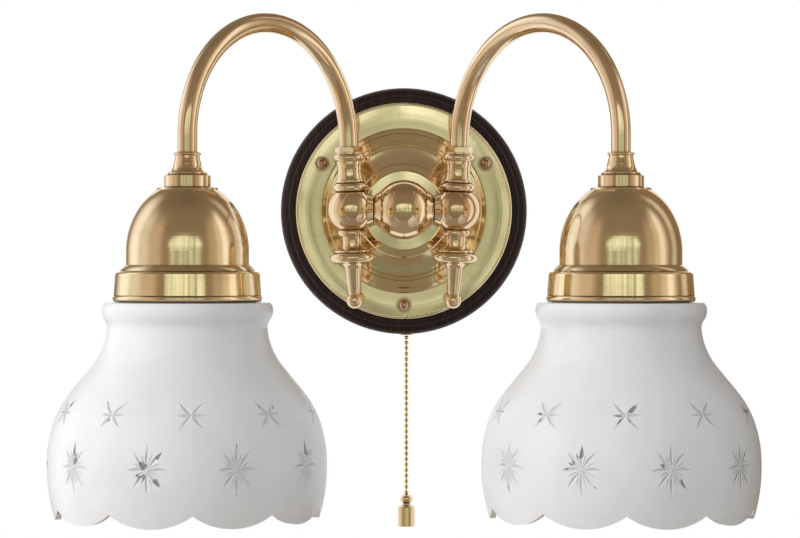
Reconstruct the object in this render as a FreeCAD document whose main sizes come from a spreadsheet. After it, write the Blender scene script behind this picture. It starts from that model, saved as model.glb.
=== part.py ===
import FreeCAD, Part
import math
import os

import Sketcher
from FreeCAD import Vector

# A double arm wall sconce: wooden backplate, brass rosette, a hub with two side balls, two turned columns
# that carry swan-neck tubes, a socket dome and a glass shade on each, and a pull chain for the switch.
# Millimetres and degrees. The origin is the centre of the backplate's back face, which lies on the wall.
# X runs to the right, Z up, and the light stands out from the wall along -Y.

DOCUMENT = FreeCAD.newDocument("DoubleArmWallSconce")

# Each driving dimension: its name, its value and what it measures.
SIZES = [
    # Wooden backplate
    ("plate_dia", 134, "diameter of the backplate"),
    ("plate_depth", 16, "thickness of the backplate"),
    ("plate_edge", 9, "straight part of the edge, from the wall"),
    ("plate_round_width", 3.8, "width of the rounded edge"),
    ("plate_round_depth", 5.2, "depth of the rounded edge"),
    ("plate_bead_width", 2.4, "width of the raised bead at the front"),
    ("plate_quirk", 0.4, "small step between the bead and the rounded edge"),
    ("plate_web", 3.5, "thickness of the back web"),
    ("plate_cavity_dia", 88, "diameter of the wiring cavity"),
    ("cable_hole_dia", 16, "hole for the supply cable"),
    ("wall_hole_dia", 5, "holes for the wall screws"),
    ("wall_hole_span", 66, "distance between the wall screw holes"),
    # Rosette, from its centre outwards
    ("rosette_dia", 116.8, "diameter of the rosette"),
    ("rosette_wall", 0.9, "thickness of the spun sheet"),
    ("rosette_rise", 14, "height of its centre above the wood"),
    ("rosette_top_dia", 42, "diameter of the raised centre"),
    ("rosette_seat_dia", 25, "flat in its middle, under the hub's collar"),
    ("rosette_top_fall", 0.45, "fall of the centre outwards from that flat"),
    ("rosette_slant", 0.6, "run of each small step"),
    ("neck_drop", 1.1, "first step down"),
    ("neck_width", 3.2, "first ledge"),
    ("neck_fall", 0.8, "its fall outwards"),
    ("ledge_drop", 0.9, "second step down"),
    ("cove_width", 8.4, "width of the hollow ring"),
    ("cove_drop", 2.0, "fall of the hollow ring"),
    ("cove_bulge", 0.03, "how hollow it is, as an arc's bulge"),
    ("ridge_width", 1.6, "narrow ledge beside the groove"),
    ("ridge_fall", 0.4, "its fall outwards"),
    ("ridge_drop", 1.2, "step down into the groove"),
    ("groove_width", 1.6, "floor of the groove"),
    ("groove_fall", 0.4, "its fall outwards"),
    ("lip_rise", 0.5, "step up out of the groove"),
    ("lip_width", 3.2, "ledge outside the groove"),
    ("lip_fall", 0.8, "its fall outwards"),
    ("lip_drop", 0.8, "step down to the shelf"),
    ("shelf_width", 2.0, "shelf above the field"),
    ("shelf_fall", 0.5, "its fall outwards"),
    ("shelf_drop", 1.3, "step down to the broad field"),
    ("field_edge_rise", 3.6, "height of the field at the rim"),
    ("rim_width", 1.5, "width of the rolled rim"),
    ("rim_height", 3.0, "height of the rim's outer side"),
    # Cap nuts and studs
    ("stud_circle_dia", 102, "circle of the three studs"),
    ("stud_dia", 4, "stud thread"),
    ("stud_depth", 6.5, "depth of each stud in the wood"),
    ("stud_play", 0.4, "thread's play in a cap nut, across"),
    ("cap_nut_flats", 7, "width across flats of a cap nut"),
    ("cap_nut_base", 3.2, "height of its hexagon"),
    ("cap_nut_crown", 0.25, "turned corner of its hexagon"),
    ("cap_nut_dome_dia", 5.8, "diameter of its dome"),
    ("cap_nut_height", 6.6, "height over the dome"),
    # Hub
    ("hub_distance", 50, "hub centre from the wall"),
    ("hub_ball_dia", 31.6, "diameter of the hub ball"),
    ("hub_boss_dia", 15.2, "flat of each side boss"),
    ("hub_boss_reach", 15.75, "hub centre to the flat of a side boss"),
    ("hub_boss_root_dia", 20, "diameter where a boss leaves the ball"),
    ("hub_cavity_dia", 19, "hollow inside the hub ball"),
    ("hub_back_reach", 13.5, "hub centre to the flat at its back"),
    ("thread_dia", 10, "lamp thread"),
    ("thread_bore", 7, "bore of the threaded tubes"),
    ("fit", 0.05, "radial clearance in a threaded joint"),
    ("thread_grip", 6.5, "length of thread inside the hub ball"),
    ("collar_dia", 21, "diameter of the spacer behind the hub ball"),
    ("collar_waist", 1.2, "depth of the spacer's waist"),
    ("collar_bead", 1.4, "half the height of the spacer's bead"),
    ("collar_foot", 1.0, "overhang of the spacer's foot"),
    ("locknut_flats", 13, "width across flats of a locknut"),
    ("locknut_height", 2.9, "height of a locknut"),
    ("lock_washer_dia", 16, "diameter of the washer behind the rosette"),
    ("lock_washer_height", 1.0, "its thickness"),
    ("stem_spare", 2.2, "stem thread behind its locknut"),
    # Washers and nipples between the balls
    ("side_washer_dia", 13, "diameter of the washer between two balls"),
    ("side_washer_height", 0.55, "its thickness"),
    ("side_ball_dia", 25, "diameter of a side ball"),
    ("side_boss_reach", 11.7, "side ball centre to the flat of its boss"),
    ("side_boss_dia", 15.2, "flat of that boss"),
    ("side_boss_root_dia", 18.2, "diameter where it leaves the ball"),
    ("side_cavity_dia", 15, "hollow inside a side ball"),
    ("side_grip", 5.2, "length of the cross nipple inside a side ball"),
    # Columns, on an axis that leans outwards in the plane of the arm
    ("column_lean", 3.2, "lean of a column from the upright"),
    ("seat_top", 9.7, "ball centre to its upper seat"),
    ("seat_bottom", 10.6, "ball centre to its lower seat"),
    ("base_bead_dia", 18.8, "lowest bead of the upper column"),
    ("base_bead_height", 4.4, "its height"),
    ("neck_ring_dia", 15.6, "small ring above it"),
    ("neck_ring_height", 2.1, "its height"),
    ("neck_dia", 14.4, "foot of the hollow neck"),
    ("neck_top_dia", 13.8, "top of the hollow neck"),
    ("neck_height", 8.0, "height of the hollow neck"),
    ("fillet_height", 1.6, "plain band above the neck"),
    ("cap_bead_dia", 16.8, "uppermost bead"),
    ("cap_bead_height", 3.7, "its height"),
    ("cap_step_dia", 14.0, "step under the locknut"),
    ("cap_step_height", 0.8, "its height"),
    ("foot_bead_dia", 15.4, "top bead of the lower column"),
    ("foot_bead_height", 3.2, "its height"),
    ("foot_cove_dia", 11.0, "hollow of the lower column"),
    ("foot_cove_height", 5.5, "its height"),
    ("foot_flare_height", 2.1, "flare under it"),
    ("foot_ring_dia", 19.0, "ring at the bottom"),
    ("foot_ring_height", 1.5, "its height"),
    # Drop finial
    ("spigot_dia", 8, "threaded spigot of the finial"),
    ("spigot_grip", 5.6, "length of the spigot inside the ball"),
    ("flange_dia", 24.6, "broad bead of the finial"),
    ("flange_height", 4.8, "its height"),
    ("ogee_height", 3.3, "hollow under the broad bead"),
    ("taper_top_dia", 8.9, "top of the tapered drop"),
    ("taper_bottom_dia", 6.4, "bottom of the tapered drop"),
    ("taper_height", 12.8, "length of the tapered drop"),
    ("drop_ball_dia", 8.6, "ball at the end"),
    ("drop_ball_neck", 1.2, "small cone between the drop and its ball"),
    # Arms
    ("arm_yaw", 48.3, "angle between an arm's plane and the wall"),
    ("arm_rise", 39.1, "ball centre to the bend, along the column"),
    ("arm_bend", 59.3, "bend radius of the tube's centre line"),
    ("tube_dia", 10, "outer diameter of the arm tube"),
    ("tube_wall", 1, "wall of the arm tube"),
    ("tube_grip", 5.2, "length of the tube inside the side ball"),
    # Ferrule, collar and dome, all above or below the dome's flat top
    ("dome_top", 9.0, "flat top of the dome above the hub centre"),
    ("band_dia", 23.3, "collar band on the dome"),
    ("band_height", 6.5, "its height"),
    ("band_bevel", 0.5, "its bevelled edges"),
    ("ferrule_bead_dia", 20.0, "bead at the foot of the ferrule"),
    ("ferrule_bead_height", 1.3, "its height"),
    ("ferrule_flare", 4.3, "height of the wide part of the flare"),
    ("ferrule_mid_dia", 13.9, "diameter above the wide part"),
    ("ferrule_sleeve", 4.2, "height of the slim part"),
    ("ferrule_sleeve_dia", 12.2, "diameter under the rim"),
    ("ferrule_rim_dia", 13.8, "rim at the top"),
    ("ferrule_rim_height", 1.4, "its height"),
    ("nipple_grip", 1.8, "nipple thread inside the ferrule"),
    ("tube_gap", 0.2, "nipple to the tube's end"),
    ("sheet_wall", 1.0, "thickness of dome and gallery"),
    ("dome_flat_dia", 30.4, "flat top of the dome"),
    ("dome_brow_dia", 31.6, "start of the dome's curve"),
    ("dome_brow", 1.1, "step between flat top and curve"),
    ("dome_dia", 61.5, "diameter of the dome"),
    ("dome_curve", 36, "upright half axis of the dome's curve"),
    ("dome_skirt", 6.6, "straight part below the curve"),
    # Shade gallery
    ("gallery_neck_dia", 62.4, "top of the sloped step"),
    ("gallery_step_dia", 67.4, "foot of the sloped step"),
    ("gallery_step_height", 2.8, "height of the sloped step"),
    ("gallery_shoulder_dia", 72.2, "shoulder of the band"),
    ("gallery_shoulder_height", 1.6, "height of the shoulder"),
    ("gallery_dia", 73.8, "foot of the band"),
    ("gallery_height", 10.6, "height of the band"),
    ("gallery_bead_dia", 74.8, "bead at the bottom"),
    ("gallery_bead_height", 3.3, "its height"),
    ("gallery_bore", 40.8, "hole for the lampholder"),
    ("gallery_quirk", 0.3, "small step under the sloped part"),
    # Lampholder, shade ring and gasket
    ("holder_dia", 39.8, "threaded skirt of the lampholder"),
    ("holder_shoulder_dia", 45, "shoulder above the gallery"),
    ("holder_bore", 27.2, "mouth for the bulb cap"),
    ("holder_skirt", 28.4, "skirt below the gallery's top"),
    ("holder_floor_drop", 3.4, "contact face below the gallery's top"),
    ("holder_floor", 4, "thickness of the contact floor"),
    ("holder_wall", 4.5, "wall around the wiring space"),
    ("holder_height", 13.6, "body above the gallery's top"),
    ("cap_neck_dia", 15, "neck of the lampholder cap"),
    ("cap_neck_height", 6, "its height"),
    ("cap_slope", 7.5, "sloped part of the cap"),
    ("cap_wall", 1.5, "wall of the cap"),
    ("gasket_height", 0.9, "gasket between gallery and glass"),
    ("gasket_margin", 1.6, "gasket to the rounded corner of the glass"),
    ("ring_bore", 40.0, "thread of the shade ring"),
    ("ring_reach", 0.4634, "share of the gap between sleeve and glass that its flange fills"),
    ("ring_flange", 2.8, "thickness of the flange"),
    ("ring_sleeve_dia", 46.4, "sleeve of the shade ring"),
    ("ring_height", 8.4, "height of the shade ring"),
    # Glass shade
    ("glass_wall", 3, "thickness of the glass"),
    ("glass_hole_dia", 42, "hole in the top of the shade"),
    ("glass_neck_dia", 68.8, "neck inside the gallery"),
    ("glass_corner", 4.8, "rounded corner at the top of the neck"),
    ("glass_neck_gap", 0.5, "gap between gallery bead and glass"),
    ("glass_lip_dia", 85.6, "rounded lip under the gallery"),
    ("glass_lip_round", 1.4, "how far in the lip's top starts to round over"),
    ("glass_lip_height", 3.4, "top of the lip to its widest"),
    ("glass_throat_dia", 80.1, "narrowest part below the lip"),
    ("glass_throat_drop", 9.3, "lip to throat"),
    ("glass_flare_dia", 96.8, "end of the hollow curve"),
    ("glass_flare_drop", 19.8, "throat to the end of the hollow curve"),
    ("glass_slope_dia", 115.2, "end of the straight slope"),
    ("glass_slope_drop", 11.3, "height of the straight slope"),
    ("glass_shoulder_dia", 131.8, "end of the first round curve"),
    ("glass_shoulder_drop", 14.1, "height of the first round curve"),
    ("glass_dia", 139.4, "widest part of the shade"),
    ("glass_belly_drop", 21.2, "shoulder to the widest part"),
    ("glass_rim_dia", 131.4, "rim of the shade"),
    ("glass_rim_drop", 28.6, "widest part to the lowest rim"),
    ("scallop_depth", 6.6, "depth of the scallops"),
    ("scallop_turn_left", 6.2, "turn of the left shade's first notch from the front"),
    ("scallop_turn_right", -2.0, "turn of the right shade's first notch"),
    # Bulb
    ("bulb_cap_dia", 26.2, "screw cap of the bulb"),
    ("bulb_cap_height", 27, "height of the cap"),
    ("bulb_tip_dia", 9.6, "contact at the top of the cap"),
    ("bulb_tip_height", 1.5, "height of the contact"),
    ("bulb_shoulder", 3.5, "sloped top of the cap"),
    ("bulb_seat_gap", 0.05, "bulb to the lampholder's contact"),
    ("bulb_neck_dia", 25.2, "neck of the globe"),
    ("bulb_dia", 45, "diameter of the globe"),
    ("bulb_drop", 26, "cap to the globe's centre"),
    ("bulb_wall", 0.8, "wall of the globe"),
    # Terminal block
    ("block_width", 30, "width of the terminal block"),
    ("block_height", 14, "height of the terminal block"),
    ("block_depth", 13, "depth of the terminal block"),
    ("block_bottom", 18, "underside above the origin"),
    ("block_pitch", 10, "distance between its poles"),
    ("block_wire_dia", 3.4, "wire holes"),
    ("block_screw_dia", 3.2, "clamping screws"),
    ("block_screw_row", 7, "distance between the two rows of screws"),
    # Pull switch
    ("switch_width", 26, "width of the switch case"),
    ("switch_height", 19, "height of the switch case"),
    ("switch_depth", 12, "depth of the switch case"),
    ("switch_top", 22, "top of the case below the origin"),
    ("switch_wall", 1.5, "wall of the case"),
    ("switch_lid", 1.2, "thickness of the lid"),
    ("switch_screw_dia", 2.9, "fixing screws of the case"),
    ("switch_screw_head_dia", 5, "their heads"),
    ("switch_screw_head", 1.5, "height of the heads"),
    ("switch_screw_gap", 0.2, "between the heads and the case's walls"),
    ("switch_mouth_play", 1, "play of the chain in the case's mouth, across"),
    ("slider_width", 8, "width of the slider"),
    ("slider_height", 6, "height of the slider"),
    ("slider_depth", 4.2, "depth of the slider"),
    ("slider_gap", 0.4, "slider to the walls of the case"),
    # Pull chain
    ("chain_x", 1.4, "chain from the middle of the plate"),
    ("chain_depth", 6.5, "chain from the wall"),
    ("chain_dia", 2.4, "diameter of a bead"),
    ("guide_dia", 5, "chain guide in the wood"),
    ("guide_bore", 3.2, "bore of the guide"),
    ("guide_flange_dia", 6.6, "flange under the plate's edge"),
    ("guide_flange", 0.5, "thickness of the flange"),
    ("guide_flare", 0.4, "bevel at the guide's mouth"),
    ("chain_gap", 0.3, "gap between two lengths of the chain"),
    ("chain_length", 84, "hanging length from the first bead to the pull"),
    ("pull_ball_dia", 6.8, "ball at the top of the pull"),
    ("pull_ball_height", 4.8, "its height"),
    ("pull_neck_dia", 4.2, "neck of the pull"),
    ("pull_neck_height", 1.0, "its height"),
    ("pull_shoulder_height", 1.2, "rounded shoulder of the pull"),
    ("pull_dia", 9.1, "body of the pull"),
    ("pull_height", 10.2, "height of the body"),
    # Wires
    ("cable_dia", 2.8, "cable to a lamp"),
    ("cable_offset", 1.7, "cable from the middle of the stem"),
    ("cable_start", 5, "cable from the middle of the block"),
    ("cable_depth", 10, "cable from the wall at the block"),
    ("cable_bend", 5.5, "bend radius of a cable inside a ball"),
    ("cable_drop", 9, "straight run of a cable below the terminal block"),
    ("lead_dia", 1.8, "lead to the switch"),
    ("lead_span", 20, "distance between the two leads"),
]

STUDS = 3
SCALLOPS = 10
SIDES = {"right": 1, "left": -1}
NOZZLE_ANGLE = 42  # a turned ball leaves its neck this many degrees from its pole
DOME_ANGLES = (40, 20, 0)  # points on the dome's curve, from the brow down
DOME_BULGE = (0.085, 0.08, 0.075)


class Size:
    """A number together with the sheet formula that gives it."""

    def __init__(self, value, formula=None):
        self.value = float(value)
        self.formula = formula or f"({self.value!r})"

    @staticmethod
    def of(number):
        return number if isinstance(number, Size) else Size(number)

    def joined(self, other, sign, value):
        return Size(value, f"({self.formula} {sign} {other.formula})")

    def __add__(self, other):
        other = Size.of(other)
        return self.joined(other, "+", self.value + other.value)

    def __sub__(self, other):
        other = Size.of(other)
        return self.joined(other, "-", self.value - other.value)

    def __mul__(self, other):
        other = Size.of(other)
        return self.joined(other, "*", self.value * other.value)

    def __truediv__(self, other):
        other = Size.of(other)
        return self.joined(other, "/", self.value / other.value)

    def __rsub__(self, other):
        return Size.of(other) - self

    def __neg__(self):
        return self * -1

    __radd__ = __add__
    __rmul__ = __mul__


def root(size):
    return Size(math.sqrt(size.value), f"sqrt({size.formula})")


def sine(angle):
    return Size(math.sin(math.radians(angle.value)), f"sin({angle.formula})")


def cosine(angle):
    return Size(math.cos(math.radians(angle.value)), f"cos({angle.formula})")


class Sheet:
    """The spreadsheet of driving dimensions, one attribute for each alias."""

    def __init__(self, rows):
        self.page = DOCUMENT.addObject("Spreadsheet::Sheet", "Sizes")
        for line, (name, value, meaning) in enumerate(rows, 1):
            self.page.set(f"A{line}", name)
            self.page.set(f"B{line}", str(value))
            self.page.setAlias(f"B{line}", name)
            self.page.set(f"C{line}", meaning)
            setattr(self, name, Size(value, f"Sizes.{name}"))
        DOCUMENT.recompute()


s = Sheet(SIZES)
NODES = []


# ---- Helpers: placements, sketches and features -------------------------------------------------


def bind(item, name, size):
    """Sets a property and ties it to the sheet."""
    size = Size.of(size)
    setattr(item, name, size.value)
    item.setExpression(name, size.formula)


def place(x=0, y=0, z=0, *turns):
    """The formula of a placement: an offset, then turns such as ("Z", angle)."""
    axes = {"X": "1; 0; 0", "Y": "0; 1; 0", "Z": "0; 0; 1"}
    spins = [f"rotation(vector({axes[axis]}); {Size.of(a).formula})" for axis, a in turns or [("Z", 0)]]
    offset = "; ".join(Size.of(v).formula for v in (x, y, z))
    return f"placement(vector({offset}); {' * '.join(spins)})"


def kept(item, label, where=None):
    """Registers a finished sub-part under its label."""
    item.Label = label
    if where:
        item.setExpression("Placement", where)
    NODES.append(item)
    return item


def new_body(label, where=None):
    return kept(DOCUMENT.addObject("PartDesign::Body", "Body_" + label), label, where)


def origin_part(body, role):
    return next(f for f in body.Origin.OriginFeatures if f.Role == role)


def new_sketch(body, plane, offset=None):
    sketch = body.newObject("Sketcher::SketchObject", "Sketch")
    sketch.AttachmentSupport = [(origin_part(body, plane), "")]
    sketch.MapMode = "FlatFace"
    if offset:
        sketch.setExpression("AttachmentOffset", offset)
    return sketch


def add_constraints(sketch, pairs):
    """Adds constraints, each with the formula it follows, or None."""
    first = sketch.ConstraintCount
    sketch.addConstraint([constraint for constraint, _ in pairs])
    for index, (_, formula) in enumerate(pairs, first):
        if formula:
            sketch.setExpression(f"Constraints[{index}]", formula)


def pinned(edge, end, x=None, y=None):
    """Constraints that tie a point of a sketch to the origin, with 0 lying on an axis."""
    pairs = []
    for size, kind, axis in ((x, "DistanceX", -2), (y, "DistanceY", -1)):
        if size is None:
            continue
        size = Size.of(size)
        if size.value == 0:
            pairs.append((Sketcher.Constraint("PointOnObject", edge, end, axis), None))
        else:
            pairs.append((Sketcher.Constraint(kind, -1, 1, edge, end, size.value), size.formula))
    return pairs


def bulged(start, end, bulge):
    """Centre and highest point of an arc. The bulge is the tangent of a quarter of its angle,
    positive to the left of the way from start to end."""
    run, climb = end[0] - start[0], end[1] - start[1]
    middle = ((start[0] + end[0]) / 2, (start[1] + end[1]) / 2)
    lever = (1 - bulge * bulge) / (4 * bulge)
    centre = (middle[0] + climb * lever, middle[1] - run * lever)
    top = (middle[0] - climb * (bulge / 2), middle[1] + run * (bulge / 2))
    return centre, top


def flat(point):
    """A sketch position as a vector."""
    return Vector(point[0].value, point[1].value, 0)


def outline_sketch(sketch, points, flip=lambda x, y: (x, y)):
    """A closed outline. Each point is (x, y) or (x, y, bulge of the edge that arrives there)."""
    ends = [(Size.of(p[0]), Size.of(p[1]), p[2] if len(p) > 2 else 0) for p in points]
    spots = [flat(flip(x, y)) for x, y, _ in ends]
    edges = range(len(ends))
    pairs = []
    for i in edges:
        start, end = ends[i], ends[(i + 1) % len(ends)]
        a, b = spots[i], spots[(i + 1) % len(ends)]
        if not end[2]:
            sketch.addGeometry(Part.LineSegment(a, b))
            continue
        centre, top = bulged(start, end, end[2])
        sketch.addGeometry(Part.Arc(a, flat(flip(*top)), b))
        x, y = flip(*centre)
        upright = abs(b.y - a.y) >= abs(b.x - a.x)
        pairs += pinned(i, 3, x=x) if upright else pinned(i, 3, y=y)
    first = [1 if sketch.getPoint(i, 1).isEqual(spots[i], 1e-6) else 2 for i in edges]
    for i in edges:
        after = (i + 1) % len(ends)
        pairs.append((Sketcher.Constraint("Coincident", i, 3 - first[i], after, first[after]), None))
        pairs += pinned(i, first[i], *flip(ends[i][0], ends[i][1]))
    add_constraints(sketch, pairs)
    return sketch


# How a radius and a height along the turning axis lie in a sketch, for each turning axis.
LATHE = {
    "Z": ("XZ_Plane", "V_Axis", lambda radius, height: (radius, height)),
    "Y": ("XY_Plane", "V_Axis", lambda radius, depth: (radius, -depth)),
    "X": ("XZ_Plane", "H_Axis", lambda radius, reach: (reach, radius)),
}


def turned(label, points, axis="Z", where=None):
    """A body of revolution. Points run down the outside and back up the bore, as (radius, height)."""
    body = new_body(label, where)
    plane, centre_line, flip = LATHE[axis]
    sketch = outline_sketch(new_sketch(body, plane), points, flip)
    turning = body.newObject("PartDesign::Revolution", "Turning")
    turning.Profile = sketch
    turning.ReferenceAxis = (sketch, [centre_line])
    turning.Angle = 360
    return body


def backwards(points):
    """The same outline walked from its last point to its first."""
    bulges = [p[2] if len(p) > 2 else 0 for p in points]
    arriving = [0] + [-b for b in reversed(bulges[1:])]
    return [(p[0], p[1], b) for p, b in zip(reversed(points), arriving)]


def bead(diameter, top, height, roundness=0.9):
    """Two points of an outline that hold a convex bead between them."""
    quirk = diameter / 2 - height * roundness / 2
    return [(quirk, top), (quirk, top - height, roundness)]


def circles(sketch, rounds):
    """Circles at (x, y, diameter)."""
    first = sketch.GeometryCount
    sketch.addGeometry([
        Part.Circle(Vector(Size.of(x).value, Size.of(y).value, 0), Vector(0, 0, 1), d.value / 2)
        for x, y, d in rounds
    ])
    pairs = []
    for i, (x, y, d) in enumerate(rounds, first):
        pairs.append((Sketcher.Constraint("Radius", i, d.value / 2), (d / 2).formula))
        pairs += pinned(i, 3, x, y)
    add_constraints(sketch, pairs)
    return sketch


def rectangle(sketch, x, y, width, height):
    """A rectangle with its lower left corner at (x, y)."""
    return outline_sketch(sketch, [(x, y), (x + width, y), (x + width, y + height), (x, y + height)])


def padded(body, sketch, length, reverse=False):
    pad = body.newObject("PartDesign::Pad", "Pad")
    pad.Profile = sketch
    pad.Reversed = reverse
    bind(pad, "Length", length)
    return pad


def pocketed(body, sketch, length=None, reverse=False):
    """Cuts a sketch into the body, to a depth or all the way, and makes sure that it did cut."""
    DOCUMENT.recompute()
    before = body.Shape.Volume
    pocket = body.newObject("PartDesign::Pocket", "Pocket")
    pocket.Profile = sketch
    pocket.Reversed = reverse
    if length is None:
        pocket.Type = "ThroughAll"
    else:
        bind(pocket, "Length", length)
    DOCUMENT.recompute()
    if body.Shape.Volume >= before:
        raise ValueError(f"{body.Label}: the pocket cuts nothing")
    return pocket


def around(body, feature, axis, count):
    """A full circle of copies of a feature."""
    pattern = body.newObject("PartDesign::PolarPattern", "Pattern")
    pattern.Originals = [feature]
    pattern.Axis = (origin_part(body, axis), [""])
    pattern.Angle = 360
    pattern.Occurrences = count
    body.Tip = pattern
    return pattern


def primitive(kind, where=None, **sizes):
    """A Part primitive whose sizes follow the sheet."""
    item = DOCUMENT.addObject("Part::" + kind, kind)
    for name, size in sizes.items():
        bind(item, name, size)
    if where:
        item.setExpression("Placement", where)
    return item


def cylinder(diameter, length, where=None):
    return primitive("Cylinder", where, Radius=diameter / 2, Height=length)


def hexagon(flats, height, where):
    """A hexagonal prism. A prism of this kind has six sides unless told otherwise."""
    return primitive("Prism", where, Circumradius=flats / math.sqrt(3), Height=height)


def fused(items):
    union = DOCUMENT.addObject("Part::MultiFuse", "Union")
    union.Shapes = items
    return union


def cut(base, tools):
    """The base without its tools."""
    difference = DOCUMENT.addObject("Part::Cut", "Difference")
    difference.Base = base
    difference.Tool = fused(tools) if len(tools) > 1 else tools[0]
    return difference


def box(x, y, z, width, depth, height):
    """A block between x and x + width, y and y + depth, z and z + height."""
    return primitive("Box", place(x, y, z), Length=width, Width=depth, Height=height)


# ---- Derived places -----------------------------------------------------------------------------

PLATE_RADIUS = s.plate_dia / 2
ROSETTE_TOP = s.plate_depth + s.rosette_rise
BALL_X = s.hub_boss_reach + s.side_washer_height + s.side_boss_reach
TUBE_HOLE = s.tube_dia / 2 + s.fit
THREAD_HOLE = s.thread_dia / 2 + s.fit
# The bend's centre and the outer leg, in the upright plane of the arm, from the side ball's centre.
BEND_X = s.arm_rise * sine(s.column_lean) + s.arm_bend * cosine(s.column_lean)
BEND_Z = s.arm_rise * cosine(s.column_lean) - s.arm_bend * sine(s.column_lean)
ARM_REACH = BEND_X + s.arm_bend
LAMP_X = BALL_X + ARM_REACH * cosine(s.arm_yaw)
LAMP_Y = s.hub_distance + ARM_REACH * sine(s.arm_yaw)
BAND_TOP = s.dome_top + s.band_height
NIPPLE_TOP = BAND_TOP + s.nipple_grip
TUBE_END = NIPPLE_TOP + s.tube_gap
DOME_RADIUS = s.dome_dia / 2
BROW_SHARE = s.dome_brow_dia / s.dome_dia
DOME_CENTRE = s.dome_top - s.dome_brow - s.dome_curve * root(1 - BROW_SHARE * BROW_SHARE)
GALLERY_TOP = DOME_CENTRE - s.dome_skirt
GLASS_TOP = GALLERY_TOP - s.sheet_wall - s.gasket_height
STEP_FOOT = GALLERY_TOP - s.gallery_step_height
SHOULDER_FOOT = STEP_FOOT - s.gallery_shoulder_height
BAND_FOOT = SHOULDER_FOOT - s.gallery_height
GALLERY_FOOT = BAND_FOOT - s.gallery_bead_height
LIP_TOP = GALLERY_FOOT - s.glass_neck_gap
NECK = s.glass_neck_dia / 2
RING_SLEEVE = s.ring_sleeve_dia / 2
RING = RING_SLEEVE + (NECK - s.glass_wall - RING_SLEEVE) * s.ring_reach
HOLDER_TOP = GALLERY_TOP + s.holder_height
CONTACT = GALLERY_TOP - s.holder_floor_drop
CHAIN_TOP = -PLATE_RADIUS - s.guide_flange - s.chain_gap - s.chain_dia / 2
CASE_LEFT = s.chain_x - s.switch_width / 2
CASE_BOTTOM = -s.switch_top - s.switch_height


def yaw_of(side):
    """The turn about Z that points X along an arm."""
    return -s.arm_yaw if side > 0 else s.arm_yaw + 180


def at_column(side):
    """The frame of a column: its ball's centre, Z along the leaning axis, X towards the lamp."""
    return place(BALL_X * side, -s.hub_distance, 0, ("Z", yaw_of(side)), ("Y", s.column_lean))


def at_lamp(side, *turns):
    return place(LAMP_X * side, -LAMP_Y, 0, *turns)


# ---- Backplate, rosette and what fastens them ---------------------------------------------------


def wood_backplate():
    """A turned bowl, open to the front, with a web at the back and a moulded edge."""
    quirk = s.plate_quirk
    round_top = s.plate_edge + s.plate_round_depth
    round_inner = PLATE_RADIUS - s.plate_round_width
    body = turned("wood_backplate", [
        (s.plate_cavity_dia / 2, s.plate_depth),
        (round_inner - quirk - s.plate_bead_width, s.plate_depth),
        (round_inner - quirk, round_top, 0.4),
        (round_inner, round_top),
        (PLATE_RADIUS, s.plate_edge, 0.35),
        (PLATE_RADIUS, 0),
        (s.cable_hole_dia / 2, 0),
        (s.cable_hole_dia / 2, s.plate_web),
        (s.plate_cavity_dia / 2, s.plate_web),
    ], "Y")
    wall_holes = [(s.wall_hole_span / 2 * side, 0, s.wall_hole_dia) for side in (1, -1)]
    pocketed(body, circles(new_sketch(body, "XZ_Plane"), wall_holes), s.plate_web, reverse=True)
    front = place(0, 0, s.plate_depth)
    stud = [(0, -s.stud_circle_dia / 2, s.stud_dia + s.fit * 2)]
    stud_hole = circles(new_sketch(body, "XZ_Plane", front), stud)
    around(body, pocketed(body, stud_hole, s.stud_depth), "Y_Axis", STUDS)
    chain_hole = [(s.chain_x, -s.chain_depth, s.guide_dia + s.fit * 2)]
    pocketed(body, circles(new_sketch(body, "XY_Plane"), chain_hole))


def rosette_front():
    """The rosette's front from its centre outwards: (radius, height, bulge, side its wall lies on)."""
    steps = [
        (s.rosette_slant, s.neck_drop, 0, -1), (s.neck_width, s.neck_fall, 0, -1),
        (s.rosette_slant, s.ledge_drop, 0, -1), (s.cove_width, s.cove_drop, -s.cove_bulge, -1),
        (s.ridge_width, s.ridge_fall, 0, -1), (s.rosette_slant, s.ridge_drop, 0, -1),
        (s.groove_width, s.groove_fall, 0, 1), (s.rosette_slant, -s.lip_rise, 0, 1),
        (s.lip_width, s.lip_fall, 0, -1), (s.rosette_slant, s.lip_drop, 0, -1),
        (s.shelf_width, s.shelf_fall, 0, -1), (s.rosette_slant, s.shelf_drop, 0, -1),
    ]
    radius, height = s.rosette_top_dia / 2, ROSETTE_TOP - s.rosette_top_fall
    front = [(THREAD_HOLE, ROSETTE_TOP, 0, 0), (s.rosette_seat_dia / 2, ROSETTE_TOP, 0, 0),
             (radius, height, 0, -1)]
    for run, drop, bulge, side in steps:
        radius, height = radius + run, height - drop
        front.append((radius, height, bulge, side))
    rim = s.rosette_dia / 2
    front.append((rim - s.rim_width, s.plate_depth + s.field_edge_rise, 0.03, -1))
    front.append((rim, s.plate_depth + s.rim_height, 0.45, -1))
    front.append((rim, s.plate_depth, 0, -1))
    return front


def brass_rosette():
    """A spun brass shell on the wood, with three holes for the studs."""
    front = rosette_front()
    wall = s.rosette_wall
    back = [(r + wall * side, a - wall, bulge) for r, a, bulge, side in front[:-1]]
    back.append((front[-1][0] - wall, front[-1][1], 0))
    body = turned("brass_rosette", [p[:3] for p in front] + backwards(back), "Y")
    hole = circles(new_sketch(body, "XZ_Plane"), [(0, -s.stud_circle_dia / 2, s.stud_dia + s.stud_play)])
    around(body, pocketed(body, hole, reverse=True), "Y_Axis", STUDS)


def nut_seat():
    """Height above the wall where a cap nut's inner edge meets the rosette's sloping field."""
    front = rosette_front()
    inner, outer = front[-4], front[-3]
    edge = (s.stud_circle_dia - s.cap_nut_flats) / 2
    crown = s.cap_nut_crown
    return inner[1] + (outer[1] - inner[1]) * (edge - inner[0]) / (outer[0] - inner[0]) + crown


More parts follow.
